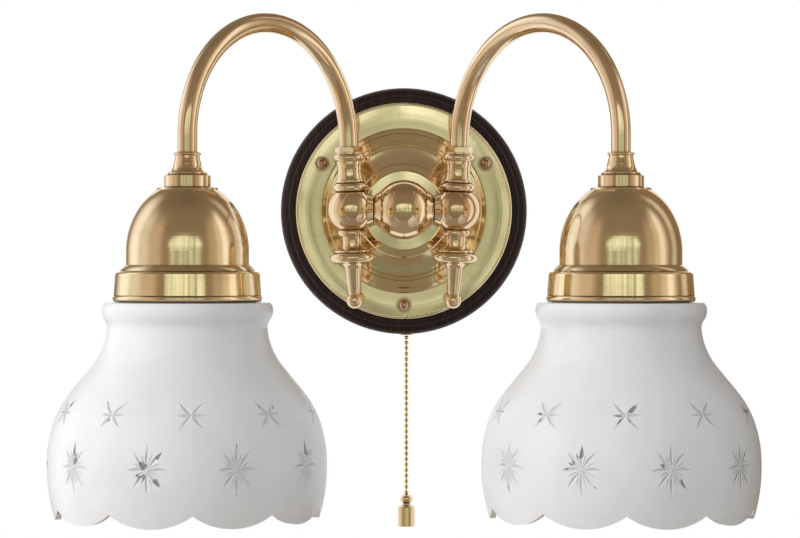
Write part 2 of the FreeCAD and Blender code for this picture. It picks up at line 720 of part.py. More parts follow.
def rosette_studs():
    """Three threaded studs from the wood through the rosette."""
    body = new_body("rosette_studs")
    low = s.plate_depth - s.stud_depth
    sketch = new_sketch(body, "XZ_Plane", place(0, 0, low))
    circles(sketch, [(0, -s.stud_circle_dia / 2, s.stud_dia)])
    length = nut_seat() + s.cap_nut_base - low
    around(body, padded(body, sketch, length), "Y_Axis", STUDS)


def rosette_cap_nuts():
    """Three hexagon nuts with a dome, standing on the field."""
    seat = nut_seat()
    nuts = []
    for i in range(STUDS):
        angle = math.radians(270 + 360 / STUDS * i)
        x, z = s.stud_circle_dia / 2 * math.cos(angle), s.stud_circle_dia / 2 * math.sin(angle)
        away = ("X", Size(90))
        base = hexagon(s.cap_nut_flats, s.cap_nut_base, place(x, -seat, z, away))
        dome_height = s.cap_nut_height - s.cap_nut_base
        dome = primitive(
            "Ellipsoid", place(x, -seat - s.cap_nut_base, z, away), Radius1=dome_height,
            Radius2=s.cap_nut_dome_dia / 2, Radius3=s.cap_nut_dome_dia / 2, Angle1=Size(0),
        )
        bore = cylinder(s.stud_dia + s.fit * 2, s.cap_nut_base, place(x, -seat, z, away))
        nuts.append(cut(fused([base, dome]), [bore]))
    group = DOCUMENT.addObject("Part::Compound", "CapNuts")
    group.Links = nuts
    kept(group, "rosette_cap_nuts")


# ---- Hub ----------------------------------------------------------------------------------------


def boss(reach, end, base, diameter, direction):
    """A cone along X that leaves a ball at its base diameter and ends in a flat.
    It is carried on into the ball, so that its edge doesn't lie on the ball's surface."""
    leaves = root(diameter * diameter / 4 - base * base / 4)
    sunk = 2
    slope = (base - end) / 2 / (reach - leaves)
    return primitive(
        "Cone", towards(direction, leaves - sunk), Radius1=base / 2 + slope * sunk, Radius2=end / 2,
        Height=reach - leaves + sunk,
    )


def towards(direction, distance):
    """A placement at a distance along +X, -X or +Y with its Z axis pointing that way."""
    spots = {
        "+X": (distance, 0, ("Y", Size(90))), "-X": (-distance, 0, ("Y", Size(-90))),
        "+Y": (0, distance, ("X", Size(-90))),
    }
    x, y, turn = spots[direction]
    return place(x, y, 0, turn)


def hub_ball():
    """A hollow ball turned about X, with a conical boss on each side and a flat at its back."""
    ball, cavity = s.hub_ball_dia / 2, s.hub_cavity_dia / 2
    base = s.hub_boss_root_dia / 2
    leaves = root(ball * ball - base * base)
    opens = root(cavity * cavity - THREAD_HOLE * THREAD_HOLE)
    body = turned("hub_ball", [
        (THREAD_HOLE, s.hub_boss_reach), (s.hub_boss_dia / 2, s.hub_boss_reach), (base, leaves),
        (base, -leaves, (ball - base) / leaves), (s.hub_boss_dia / 2, -s.hub_boss_reach),
        (THREAD_HOLE, -s.hub_boss_reach), (THREAD_HOLE, -opens),
        (THREAD_HOLE, opens, (THREAD_HOLE - cavity) / opens),
    ], "X", place(0, -s.hub_distance, 0))
    back = new_sketch(body, "XZ_Plane", place(0, 0, -s.hub_back_reach))
    pocketed(body, circles(back, [(0, 0, s.hub_ball_dia)]))
    pocketed(body, circles(new_sketch(body, "XZ_Plane"), [(0, 0, THREAD_HOLE * 2)]))


def ring(label, outer, inner, low, high, axis="Z", where=None):
    """A plain ring between two heights."""
    return turned(label, [(outer / 2, high), (outer / 2, low), (inner, low), (inner, high)], axis, where)


def hexagon_nut(label, bottom, hole, where):
    """A locknut with bevelled corners, turned about Z."""
    prism = hexagon(s.locknut_flats, s.locknut_height, place(0, 0, bottom))
    bevel = primitive(
        "Cone", place(0, 0, bottom), Radius1=s.locknut_flats / 2 + s.locknut_height * 2,
        Radius2=s.locknut_flats / 2 + 0.1, Height=s.locknut_height,
    )
    bevelled = DOCUMENT.addObject("Part::MultiCommon", "Bevelled")
    bevelled.Shapes = [prism, bevel]
    bore = cylinder(hole * 2, s.locknut_height, place(0, 0, bottom))
    kept(cut(bevelled, [bore]), label, where)


def hub_fittings():
    """The stem that carries the hub, with its spacer, lock washer and locknut."""
    back = s.hub_distance - s.hub_back_reach
    inside = ROSETTE_TOP - s.rosette_wall
    waist = s.collar_dia / 2 - s.collar_waist
    turned("hub_collar", [
        (waist, back), (s.collar_dia / 2, back - s.collar_bead, 0.4), (waist, back - s.collar_bead * 2, 0.4),
        (s.collar_dia / 2 + s.collar_foot, ROSETTE_TOP, -0.3), (THREAD_HOLE, ROSETTE_TOP),
        (THREAD_HOLE, back),
    ], "Y")
    ring("hub_lock_washer", s.lock_washer_dia, THREAD_HOLE, inside - s.lock_washer_height, inside, "Y")
    nut_top = inside - s.lock_washer_height
    hexagon_nut("hub_locknut", -nut_top, THREAD_HOLE, place(0, 0, 0, ("X", Size(-90))))
    stem_end = nut_top - s.locknut_height - s.stem_spare
    stem_front = back + s.thread_grip
    ring("hub_stem", s.thread_dia, s.thread_bore / 2, stem_end, stem_front, "Y")


def cross_fittings():
    """The two nipples that join the balls and the thin washers between them."""
    nipples, washers = [], []
    inner = s.hub_boss_reach - s.thread_grip
    outer = BALL_X - s.side_boss_reach + s.side_grip
    for side, way in ((1, "+X"), (-1, "-X")):
        at_nipple = place(inner * side, -s.hub_distance, 0, ("Y", Size(90 * side)))
        tube = cylinder(s.thread_dia, outer - inner, at_nipple)
        nipples.append(cut(tube, [cylinder(s.thread_bore, outer - inner, at_nipple)]))
        at_washer = place(s.hub_boss_reach * side, -s.hub_distance, 0, ("Y", Size(90 * side)))
        disc = cylinder(s.side_washer_dia, s.side_washer_height, at_washer)
        washers.append(cut(disc, [cylinder(THREAD_HOLE * 2, s.side_washer_height, at_washer)]))
    for label, items in (("cross_nipples", nipples), ("side_washers", washers)):
        group = DOCUMENT.addObject("Part::Compound", "Pair")
        group.Links = items
        kept(group, label)


# ---- Columns ------------------------------------------------------------------------------------


def side_ball(name, side):
    """A hollow ball with a boss towards the hub and seats across the leaning axis of its column."""
    way = "-X" if side > 0 else "+X"
    ball = primitive("Sphere", Radius=s.side_ball_dia / 2)
    lug = boss(s.side_boss_reach, s.side_boss_dia, s.side_boss_root_dia, s.side_ball_dia, way)
    lean = (("Z", yaw_of(side)), ("Y", s.column_lean))
    down = (("Z", yaw_of(side)), ("Y", s.column_lean + 180))

    def along(turns, distance):
        """A placement up or down the leaning axis."""
        flat = sine(s.column_lean) * distance
        heading = cosine(s.arm_yaw) * side, -sine(s.arm_yaw)
        up = 1 if turns is lean else -1
        rise = cosine(s.column_lean) * distance
        return place(flat * heading[0] * up, flat * heading[1] * up, rise * up, *turns)

    tools = [
        primitive("Sphere", Radius=s.side_cavity_dia / 2),
        cylinder(s.side_ball_dia, s.side_ball_dia, along(lean, s.seat_top)),
        cylinder(s.side_ball_dia, s.side_ball_dia, along(down, s.seat_bottom)),
        cylinder(TUBE_HOLE * 2, s.side_ball_dia, along(lean, s.seat_top - s.tube_grip)),
        cylinder(s.spigot_dia + s.fit * 2, s.side_ball_dia, along(down, s.seat_bottom - s.spigot_grip)),
        cylinder(THREAD_HOLE * 2, s.side_ball_dia, towards(way, s.side_boss_reach - s.side_grip)),
    ]
    kept(cut(fused([ball, lug]), tools), f"side_ball_{name}", place(BALL_X * side, -s.hub_distance, 0))


def upper_column_top():
    heights = (s.base_bead_height, s.neck_ring_height, s.neck_height, s.fillet_height,
               s.cap_bead_height, s.cap_step_height)
    return sum(heights, s.seat_top)


def upper_column(name, side):
    """The turned part above a side ball: beads and a hollow neck, from the top down."""
    level = upper_column_top()
    points = [(s.cap_step_dia / 2, level)]
    level = level - s.cap_step_height
    points.append((s.cap_step_dia / 2, level))
    points += bead(s.cap_bead_dia, level, s.cap_bead_height)
    level = level - s.cap_bead_height
    points += [(s.neck_top_dia / 2, level), (s.neck_top_dia / 2, level - s.fillet_height)]
    level = level - s.fillet_height - s.neck_height
    points.append((s.neck_dia / 2, level, -0.16))
    points += bead(s.neck_ring_dia, level, s.neck_ring_height, 0.6)
    level = level - s.neck_ring_height
    points += bead(s.base_bead_dia, level, s.base_bead_height)
    points += [(TUBE_HOLE, s.seat_top), (TUBE_HOLE, upper_column_top())]
    turned(f"upper_column_{name}", points, where=at_column(side))


def lower_column(name, side):
    """The turned part below a side ball: a bead, a hollow and a flare to a ring."""
    level = -s.seat_bottom
    points = bead(s.foot_bead_dia, level, s.foot_bead_height, 0.5)
    level = level - s.foot_bead_height
    points.append((s.foot_cove_dia / 2, level))
    points.append((s.foot_cove_dia / 2, level - s.foot_cove_height, -0.12))
    level = level - s.foot_cove_height - s.foot_flare_height
    points.append((s.foot_ring_dia / 2, level, -0.3))
    low = level - s.foot_ring_height
    bore = s.spigot_dia / 2 + s.fit
    points += [(s.foot_ring_dia / 2, low, 0.3), (bore, low), (bore, -s.seat_bottom)]
    turned(f"lower_column_{name}", points, where=at_column(side))
    return low


def drop_finial(name, side, top):
    """The broad bead and tapered drop that end a column, with the spigot that holds it."""
    ball = s.drop_ball_dia / 2
    neck = math.radians(NOZZLE_ANGLE)
    points = [(0, -s.seat_bottom + s.spigot_grip), (s.spigot_dia / 2, -s.seat_bottom + s.spigot_grip)]
    points.append((s.spigot_dia / 2, top))
    points += bead(s.flange_dia, top, s.flange_height, 0.8)
    level = top - s.flange_height - s.ogee_height
    points.append((s.taper_top_dia / 2, level, -0.3))
    level = level - s.taper_height
    points.append((s.taper_bottom_dia / 2, level))
    centre = level - ball * math.cos(neck) - s.drop_ball_neck
    points.append((ball * math.sin(neck), centre + ball * math.cos(neck)))
    points.append((0, centre - ball, math.tan((math.pi - neck) / 4)))
    turned(f"drop_finial_{name}", points, where=at_column(side))


# ---- Arms and their sockets ---------------------------------------------------------------------


def arm_tube(name, side):
    """A swan-neck tube: up the leaning column, round one bend and straight down to the socket."""
    where = place(BALL_X * side, -s.hub_distance, 0, ("Z", yaw_of(side)))
    body = new_body(f"arm_tube_{name}", where)
    path = new_sketch(body, "XZ_Plane")
    low = s.seat_top - s.tube_grip
    foot = (low * sine(s.column_lean), low * cosine(s.column_lean))
    bend = (s.arm_rise * sine(s.column_lean), s.arm_rise * cosine(s.column_lean))
    top = Vector(BEND_X.value, BEND_Z.value + s.arm_bend.value, 0)
    ends = [Vector(x.value, z.value, 0) for x, z in
            ((ARM_REACH, TUBE_END), (ARM_REACH, BEND_Z), bend, foot)]
    path.addGeometry([
        Part.LineSegment(ends[0], ends[1]), Part.Arc(ends[1], top, ends[2]),
        Part.LineSegment(ends[2], ends[3]),
    ])
    held = pinned(0, 1, ARM_REACH, TUBE_END) + pinned(1, 3, BEND_X, BEND_Z) + pinned(2, 2, *foot)
    add_constraints(path, held + [
        (Sketcher.Constraint("Vertical", 0), None),
        (Sketcher.Constraint("Tangent", 0, 2, 1, 1), None),
        (Sketcher.Constraint("Tangent", 1, 2, 2, 1), None),
    ])
    section = circles(
        new_sketch(body, "XY_Plane", place(ARM_REACH, 0, TUBE_END)),
        [(0, 0, s.tube_dia), (0, 0, s.tube_dia - s.tube_wall * 2)],
    )
    pipe = body.newObject("PartDesign::AdditivePipe", "Pipe")
    pipe.Profile = section
    pipe.Spine = (path, ["Edge1", "Edge2", "Edge3"])


def ferrule_and_band(name, side):
    """The flared ferrule at the tube's end, the plain collar band on the dome, and the bore through both."""
    foot = BAND_TOP
    flare = foot + s.ferrule_bead_height + s.ferrule_flare
    sleeve = flare + s.ferrule_sleeve
    rim = sleeve + s.ferrule_rim_height
    points = bead(s.ferrule_rim_dia, rim, s.ferrule_rim_height, 0.6)
    points.append((s.ferrule_sleeve_dia / 2, sleeve))
    points.append((s.ferrule_mid_dia / 2, flare, -0.04))
    points.append((s.ferrule_bead_dia / 2 - 0.6, foot + s.ferrule_bead_height, -0.2))
    points += bead(s.ferrule_bead_dia, foot + s.ferrule_bead_height, s.ferrule_bead_height, 0.6)
    points += [(THREAD_HOLE, foot), (THREAD_HOLE, NIPPLE_TOP), (TUBE_HOLE, TUBE_END), (TUBE_HOLE, rim)]
    turned(f"arm_ferrule_{name}", points, where=at_lamp(side))
    outer = s.band_dia / 2
    inner = outer - s.band_bevel
    turned(f"collar_band_{name}", [
        (inner, BAND_TOP), (outer, BAND_TOP - s.band_bevel), (outer, s.dome_top + s.band_bevel),
        (inner, s.dome_top), (THREAD_HOLE, s.dome_top), (THREAD_HOLE, BAND_TOP),
    ], where=at_lamp(side))


def dome_outline(inset):
    """The dome's outline from its hole to its foot, drawn in by an inset."""
    start = s.dome_top - inset
    points = [(THREAD_HOLE, start), (s.dome_flat_dia / 2 - inset * 0.6, start)]
    points.append((s.dome_brow_dia / 2 - inset * 0.6, s.dome_top - s.dome_brow - inset * 0.9))
    for angle, bulge in zip(DOME_ANGLES, DOME_BULGE):
        turn = math.radians(angle)
        points.append((
            (DOME_RADIUS - inset) * math.cos(turn),
            DOME_CENTRE + (s.dome_curve - inset) * math.sin(turn), bulge,
        ))
    points.append((DOME_RADIUS - inset, GALLERY_TOP))
    return points


def socket_dome(name, side):
    """The spun bell that covers the lampholder."""
    outer, inner = dome_outline(Size(0)), dome_outline(s.sheet_wall)
    turned(f"socket_dome_{name}", outer + backwards(inner), where=at_lamp(side))


def shade_gallery(name, side):
    """The stepped band between dome and glass."""
    wall, quirk = s.sheet_wall, s.gallery_quirk
    points = [(s.gallery_bore / 2, GALLERY_TOP), (s.gallery_neck_dia / 2, GALLERY_TOP)]
    points.append((s.gallery_step_dia / 2, STEP_FOOT, 0.1))
    points.append((s.gallery_step_dia / 2 - quirk, STEP_FOOT - quirk))
    points.append((s.gallery_step_dia / 2 + quirk, STEP_FOOT - quirk))
    points.append((s.gallery_shoulder_dia / 2, SHOULDER_FOOT, 0.3))
    points.append((s.gallery_dia / 2, BAND_FOOT))
    points += bead(s.gallery_bead_dia, BAND_FOOT, s.gallery_bead_height, 0.6)
    throat = s.gallery_dia / 2 - wall * 1.4
    points += [
        (throat, GALLERY_FOOT), (s.gallery_shoulder_dia / 2 - wall * 1.1, SHOULDER_FOOT - wall * 0.8),
        (s.gallery_step_dia / 2 - wall * 1.1, STEP_FOOT - wall * 0.8),
        (s.gallery_neck_dia / 2 - wall * 0.8, GALLERY_TOP - wall), (s.gallery_bore / 2, GALLERY_TOP - wall),
    ]
    turned(f"shade_gallery_{name}", points, where=at_lamp(side))


def lampholder(name, side):
    """The lampholder's cap and body, the ring and gasket that clamp the glass."""
    cap_top = s.dome_top - s.sheet_wall
    neck_foot = cap_top - s.cap_neck_height
    slope_foot = neck_foot - s.cap_slope
    outer = s.holder_shoulder_dia / 2
    turned(f"lampholder_cap_{name}", [
        (s.cap_neck_dia / 2, cap_top), (s.cap_neck_dia / 2, neck_foot), (outer, slope_foot, 0.25),
        (outer, HOLDER_TOP), (outer - s.cap_wall, HOLDER_TOP), (outer - s.cap_wall, slope_foot),
        (THREAD_HOLE + 1, neck_foot - s.cap_wall, -0.25), (THREAD_HOLE, neck_foot - s.cap_wall),
        (THREAD_HOLE, cap_top),
    ], where=at_lamp(side))
    foot = GALLERY_TOP - s.holder_skirt
    space = s.holder_dia / 2 - s.holder_wall
    turned(f"lampholder_body_{name}", [
        (outer, HOLDER_TOP), (outer, GALLERY_TOP), (s.holder_dia / 2, GALLERY_TOP), (s.holder_dia / 2, foot),
        (s.holder_bore / 2, foot), (s.holder_bore / 2, CONTACT), (0, CONTACT), (0, CONTACT + s.holder_floor),
        (space, CONTACT + s.holder_floor), (space, HOLDER_TOP),
    ], where=at_lamp(side))
    gasket = (NECK - s.glass_corner - s.gasket_margin) * 2
    ring(f"shade_gasket_{name}", gasket, s.gallery_bore / 2, GLASS_TOP, GALLERY_TOP - s.sheet_wall,
         where=at_lamp(side))
    flange = GLASS_TOP - s.glass_wall
    turned(f"shade_ring_{name}", [
        (RING, flange), (RING, flange - s.ring_flange),
        (RING_SLEEVE, flange - s.ring_flange), (RING_SLEEVE, flange - s.ring_height),
        (s.ring_bore / 2, flange - s.ring_height), (s.ring_bore / 2, flange),
    ], where=at_lamp(side))


def glass_shade(name, side):
    """A bell of glass with a rounded lip, a throat, a wide belly and a scalloped rim."""
    wall, neck, corner = s.glass_wall, NECK, s.glass_corner
    lip = LIP_TOP - s.glass_lip_height
    throat = lip - s.glass_throat_drop
    flare = throat - s.glass_flare_drop
    slope = flare - s.glass_slope_drop
    shoulder = slope - s.glass_shoulder_drop
    belly = shoulder - s.glass_belly_drop
    rim = belly - s.glass_rim_drop
    outer = [
        (s.glass_hole_dia / 2, GLASS_TOP), (neck - corner, GLASS_TOP), (neck, GLASS_TOP - corner, 0.15),
        (neck, LIP_TOP), (s.glass_lip_dia / 2 - s.glass_lip_round, LIP_TOP),
        (s.glass_lip_dia / 2, lip, 0.19),
        ((s.glass_lip_dia + s.glass_throat_dia * 1.4) / 4.8, (lip + throat * 1.4) / 2.4, 0.17),
        (s.glass_throat_dia / 2, throat, -0.17), (s.glass_flare_dia / 2, flare, -0.16),
        (s.glass_slope_dia / 2, slope), (s.glass_shoulder_dia / 2, shoulder, 0.08),
        (s.glass_dia / 2, belly, 0.085), (s.glass_rim_dia / 2, rim, 0.085),
    ]
    # The inside follows the outside, one wall in, and more steeply below where the glass slopes. For each
    # point that isn't straight in: how many walls it moves across and how many down.
    shift = {
        3: (1, 1.2), 4: (1.6, 1), 5: (1, 0.2), 6: (1, 0), 8: (0.75, 0.65), 9: (0.75, 0.65), 10: (0.95, 0.3),
    }
    inner = []
    for i, (radius, level, *bulge) in enumerate(outer):
        across, down = shift.get(i, (1, 0) if i > 2 else (0, 1) if i < 2 else (1, 0))
        inner.append((radius - wall * across, level - wall * down, *bulge))
    turn = s.scallop_turn_left if side < 0 else s.scallop_turn_right
    body = turned(f"glass_shade_{name}", outer + backwards(inner), where=at_lamp(side, ("Z", turn - 90)))
    sector = math.pi / SCALLOPS
    half = s.glass_rim_dia / 2 * math.sin(sector)
    notch, below = rim + s.scallop_depth, rim - s.scallop_depth
    bulge = -math.tan(math.atan(s.scallop_depth.value / half.value) / 2)
    sketch = outline_sketch(new_sketch(body, "YZ_Plane"), [
        (0, notch, bulge), (half, rim, bulge), (half, below), (-half, below), (-half, rim),
    ])
    around(body, pocketed(body, sketch, reverse=True), "Z_Axis", SCALLOPS)


def bulb(name, side):
    """A screw-cap bulb with a round opal globe, hanging in the lampholder."""
    tip, rad = s.bulb_tip_dia / 2, s.bulb_cap_dia / 2
    seat = CONTACT - s.bulb_seat_gap
    foot = seat - s.bulb_cap_height
    below = seat - s.bulb_tip_height
    turned(f"bulb_cap_{name}", [
        (0, seat), (tip, seat), (tip, below), (rad, below - s.bulb_shoulder), (rad, foot), (0, foot),
    ], where=at_lamp(side))
    centre = foot - s.bulb_drop
    turn = math.radians(NOZZLE_ANGLE)

    def globe(inset):
        """The globe's outline from its neck to its lowest point."""
        radius = s.bulb_dia / 2 - inset
        return [
            (s.bulb_neck_dia / 2 - inset, foot),
            (radius * math.sin(turn), centre + radius * math.cos(turn), -0.05),
            (0, centre - radius, math.tan((math.pi - turn) / 4)),
        ]

    turned(f"bulb_globe_{name}", globe(Size(0)) + backwards(globe(s.bulb_wall)), where=at_lamp(side))


def lamp_nipples():
    """The two short threaded tubes from ferrule to lampholder."""
    nipples = []
    bottom = s.dome_top - s.sheet_wall - s.cap_neck_height
    length = NIPPLE_TOP - bottom
    for side in SIDES.values():
        where = place(LAMP_X * side, -LAMP_Y, bottom)
        nipples.append(cut(cylinder(s.thread_dia, length, where), [cylinder(s.thread_bore, length, where)]))
    group = DOCUMENT.addObject("Part::Compound", "Pair")
    group.Links = nipples
    kept(group, "lamp_nipples")


# ---- Wiring inside the backplate ----------------------------------------------------------------


def terminal_block():
    """A three pole terminal block on the web, with two rows of clamping screws."""
    poles = [s.block_pitch * i for i in (-1, 0, 1)]
    body = new_body("terminal_block")
    base = rectangle(
        new_sketch(body, "XZ_Plane", place(0, 0, s.plate_web)),
        -s.block_width / 2, s.block_bottom, s.block_width, s.block_height,
    )
    padded(body, base, s.block_depth)
    wires = [(x, -s.plate_web - s.block_depth / 3, s.block_wire_dia) for x in poles]
    floor = place(0, 0, s.block_bottom)
    pocketed(body, circles(new_sketch(body, "XY_Plane", floor), wires), reverse=True)
    middle = s.block_bottom + s.block_height / 2
    spots = [(x, middle + s.block_screw_row / 2 * row) for x in poles for row in (-1, 1)]
    depth = s.block_depth / 2
    front = place(0, 0, s.plate_web + s.block_depth)
    hole = s.block_screw_dia + s.fit * 2
    pocketed(body, circles(new_sketch(body, "XZ_Plane", front), [(x, z, hole) for x, z in spots]), depth)
    screws = new_body("terminal_screws")
    sunk = place(0, 0, s.plate_web + s.block_depth - depth)
    sketch = circles(new_sketch(screws, "XZ_Plane", sunk), [(x, z, s.block_screw_dia) for x, z in spots])
    padded(screws, sketch, depth - 1)


def pull_switch():
    """The switch case with its lid, the two screws that hold it, and the slider the chain pulls."""
    wall, back = s.switch_wall, s.plate_web
    front = back + s.switch_depth
    inside = (s.switch_width - wall * 2, s.switch_depth - wall, s.switch_height - wall * 2)
    shell = box(CASE_LEFT, -front, CASE_BOTTOM, s.switch_width, s.switch_depth, s.switch_height)
    hollow = box(CASE_LEFT + wall, -front, CASE_BOTTOM + wall, *inside)
    mouth = cylinder(s.chain_dia + s.switch_mouth_play, wall * 2,
                     place(s.chain_x, -s.chain_depth, CASE_BOTTOM - wall / 2))
    inset = wall + s.switch_screw_head_dia / 2 + s.switch_screw_gap
    spots = [
        (CASE_LEFT + inset, CASE_BOTTOM + s.switch_height / 2),
        (CASE_LEFT + s.switch_width - inset, CASE_BOTTOM + s.switch_height / 2),
    ]
    out = ("X", Size(90))
    holes = [cylinder(s.switch_screw_dia + s.fit * 2, wall, place(x, -back, z, out)) for x, z in spots]
    kept(cut(shell, [hollow, mouth] + holes), "switch_case")
    kept(box(CASE_LEFT, -front - s.switch_lid, CASE_BOTTOM, s.switch_width, s.switch_lid, s.switch_height),
         "switch_lid")
    screws = []
    for x, z in spots:
        shank = cylinder(s.switch_screw_dia, wall, place(x, -back, z, out))
        head = cylinder(s.switch_screw_head_dia, s.switch_screw_head, place(x, -back - wall, z, out))
        screws.append(fused([shank, head]))
    group = DOCUMENT.addObject("Part::Compound", "Screws")
    group.Links = screws
    kept(group, "switch_screws")
    top = -s.switch_top - wall - s.slider_gap
    slider_front = -back - wall - s.slider_gap - s.slider_depth
    kept(box(s.chain_x - s.slider_width / 2, slider_front, top - s.slider_height,
             s.slider_width, s.slider_depth, s.slider_height), "switch_slider")
    return top - s.slider_height


def switch_leads():
    """Two leads from the terminal block down to the switch."""
    length = s.block_bottom + s.switch_top
    wires = [
        cylinder(s.lead_dia, length, place(s.lead_span / 2 * side, -s.cable_depth, -s.switch_top))
        for side in SIDES.values()
    ]
    group = DOCUMENT.addObject("Part::Compound", "Leads")
    group.Links = wires
    kept(group, "switch_leads")


def chain(slider_foot):
    """The guide in the wood, the chain inside it, the first bead outside, the hanging chain and its pull."""
    x, y = s.chain_x, -s.chain_depth
    mouth, inner_end = -PLATE_RADIUS - s.guide_flange, -s.plate_cavity_dia / 2
    bore, flare = s.guide_bore / 2, s.guide_flare
    turned("chain_guide", [
        (s.guide_dia / 2, inner_end), (s.guide_dia / 2, -PLATE_RADIUS),
        (s.guide_flange_dia / 2, -PLATE_RADIUS), (s.guide_flange_dia / 2, mouth),
        (bore + flare, mouth), (bore, mouth + flare), (bore, inner_end),
    ], where=place(x, y, 0))
    first_bead = s.chain_dia / 2
    inner_foot = CHAIN_TOP + first_bead + s.chain_gap
    kept(cylinder(s.chain_dia, slider_foot - inner_foot, place(x, y, inner_foot)), "inner_chain")
    kept(primitive("Sphere", Radius=first_bead), "first_bead", place(x, y, CHAIN_TOP))
    hang_top = CHAIN_TOP - first_bead - s.chain_gap
    kept(cylinder(s.chain_dia, s.chain_length, place(x, y, hang_top - s.chain_length)), "pull_chain")
    level = hang_top - s.chain_length
    points = [(0, level)] + bead(s.pull_ball_dia, level, s.pull_ball_height)
    level = level - s.pull_ball_height
    points += [(s.pull_neck_dia / 2, level), (s.pull_neck_dia / 2, level - s.pull_neck_height)]
    level = level - s.pull_neck_height - s.pull_shoulder_height
    points += [(s.pull_dia / 2, level, 0.35), (s.pull_dia / 2, level - s.pull_height)]
    points.append((0, level - s.pull_height))
    turned("chain_pull", points, where=place(x, y, 0))


def filleted(points, radius):
    """Edges along points, with an arc of one radius at each inner point."""
    edges, start = [], points[0]
    for corner, after in zip(points[1:], points[2:]):
        into, out = (corner - start).normalize(), (after - corner).normalize()
        half = into.getAngle(out) / 2
        tangent = radius * math.tan(half)
        first, last = corner - into * tangent, corner + out * tangent
        inward = (out - into).normalize()
        middle = corner + inward * (radius / math.cos(half) - radius)
        edges += [Part.LineSegment(start, first).toShape(), Part.Arc(first, middle, last).toShape()]
        start = last
    edges.append(Part.LineSegment(start, points[-1]).toShape())
    return edges


def lamp_cable(name, side):
    """One cable: terminal block, stem, hub ball, side ball, column, round the arm, into the lampholder."""
    hub, heading = s.hub_distance.value, Vector(cosine(s.arm_yaw).value * side, -sine(s.arm_yaw).value, 0)
    ball = Vector(BALL_X.value * side, -hub, 0)

    def in_arm(reach, level):
        """A point in the plane of the arm."""
        return ball + heading * reach + Vector(0, 0, level)

    lean = math.radians(s.column_lean.value)
    rise, bend = s.arm_rise.value, s.arm_bend.value
    bend_start = in_arm(rise * math.sin(lean), rise * math.cos(lean))
    start = Vector(s.cable_start.value * side, -s.cable_depth.value, s.block_bottom.value)
    stem = s.cable_offset.value * side
    points = [
        start, start - Vector(0, 0, s.cable_drop.value), Vector(stem, -s.plate_depth.value, 0),
        Vector(stem, -hub, 0), ball, bend_start,
    ]
    edges = filleted(points, s.cable_bend.value)
    slant = (math.pi - lean) / 2
    top = in_arm(BEND_X.value - bend * math.cos(slant + lean), BEND_Z.value + bend * math.sin(slant + lean))
    leg = in_arm(ARM_REACH.value, BEND_Z.value)
    end = in_arm(ARM_REACH.value, (CONTACT + s.holder_floor).value)
    edges += [Part.Arc(bend_start, top, leg).toShape(), Part.LineSegment(leg, end).toShape()]
    route = Part.Wire(edges)
    section = Part.Wire([Part.Circle(start, Vector(0, 0, 1), s.cable_dia.value / 2).toShape()])
    solid = route.makePipeShell([section], True, False)
    expected = math.pi * s.cable_dia.value ** 2 / 4 * route.Length
    print(f"lamp_cable_{name}: volume {solid.Volume:.1f}, section times length {expected:.1f}")
    cable = DOCUMENT.addObject("Part::Feature", "Cable")
    cable.Shape = solid
    kept(cable, f"lamp_cable_{name}")


# ---- The whole light ----------------------------------------------------------------------------

wood_backplate()
brass_rosette()
rosette_studs()
rosette_cap_nuts()
hub_ball()
hub_fittings()
cross_fittings()
terminal_block()
chain(pull_switch())
switch_leads()
lamp_nipples()
for side_name, side_sign in SIDES.items():
    side_ball(side_name, side_sign)
    upper_column(side_name, side_sign)
    hexagon_nut(f"arm_locknut_{side_name}", upper_column_top(), TUBE_HOLE, at_column(side_sign))
    drop_finial(side_name, side_sign, lower_column(side_name, side_sign))
    arm_tube(side_name, side_sign)
    ferrule_and_band(side_name, side_sign)
    socket_dome(side_name, side_sign)
    shade_gallery(side_name, side_sign)
    lampholder(side_name, side_sign)
    glass_shade(side_name, side_sign)
    bulb(side_name, side_sign)
    lamp_cable(side_name, side_sign)

DOCUMENT.recompute()

failed = [item.Label for item in DOCUMENT.Objects if {"Invalid", "Error"} & set(item.State)]
failed += [item.Label for item in NODES if item.Shape.isNull() or not item.Shape.isValid()]
if failed:
    raise SystemExit(f"these did not build: {failed}")

os.makedirs("parts", exist_ok=True)
for item in NODES:
    item.Shape.exportStep(f"parts/{item.Label}.step")
print(f"{len(NODES)} sub-parts written")
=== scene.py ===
import bpy, bmesh, math
from mathutils import Matrix, Vector


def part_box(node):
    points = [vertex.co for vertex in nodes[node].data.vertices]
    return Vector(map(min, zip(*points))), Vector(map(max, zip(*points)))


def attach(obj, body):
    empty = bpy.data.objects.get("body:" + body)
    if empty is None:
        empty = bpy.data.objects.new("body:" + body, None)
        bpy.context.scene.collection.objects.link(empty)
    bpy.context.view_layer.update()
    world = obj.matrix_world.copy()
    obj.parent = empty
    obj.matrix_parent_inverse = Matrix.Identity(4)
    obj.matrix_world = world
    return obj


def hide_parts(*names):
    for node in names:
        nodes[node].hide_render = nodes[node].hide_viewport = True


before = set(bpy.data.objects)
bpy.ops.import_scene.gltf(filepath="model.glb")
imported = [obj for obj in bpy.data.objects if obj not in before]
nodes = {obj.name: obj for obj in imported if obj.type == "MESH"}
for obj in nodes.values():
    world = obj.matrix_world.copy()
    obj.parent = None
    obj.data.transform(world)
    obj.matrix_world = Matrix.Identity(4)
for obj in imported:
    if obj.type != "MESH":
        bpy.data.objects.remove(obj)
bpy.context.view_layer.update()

# ---- Studio ------------------------------------------------------------------------------------------
# A white board behind the light, a plain floor far below it, a soft lamp at the left, a weaker one at the
# right, and the room that the brass mirrors. The board shows from the front only and the floor from above
# only, so that the light can be looked at from behind and from below.


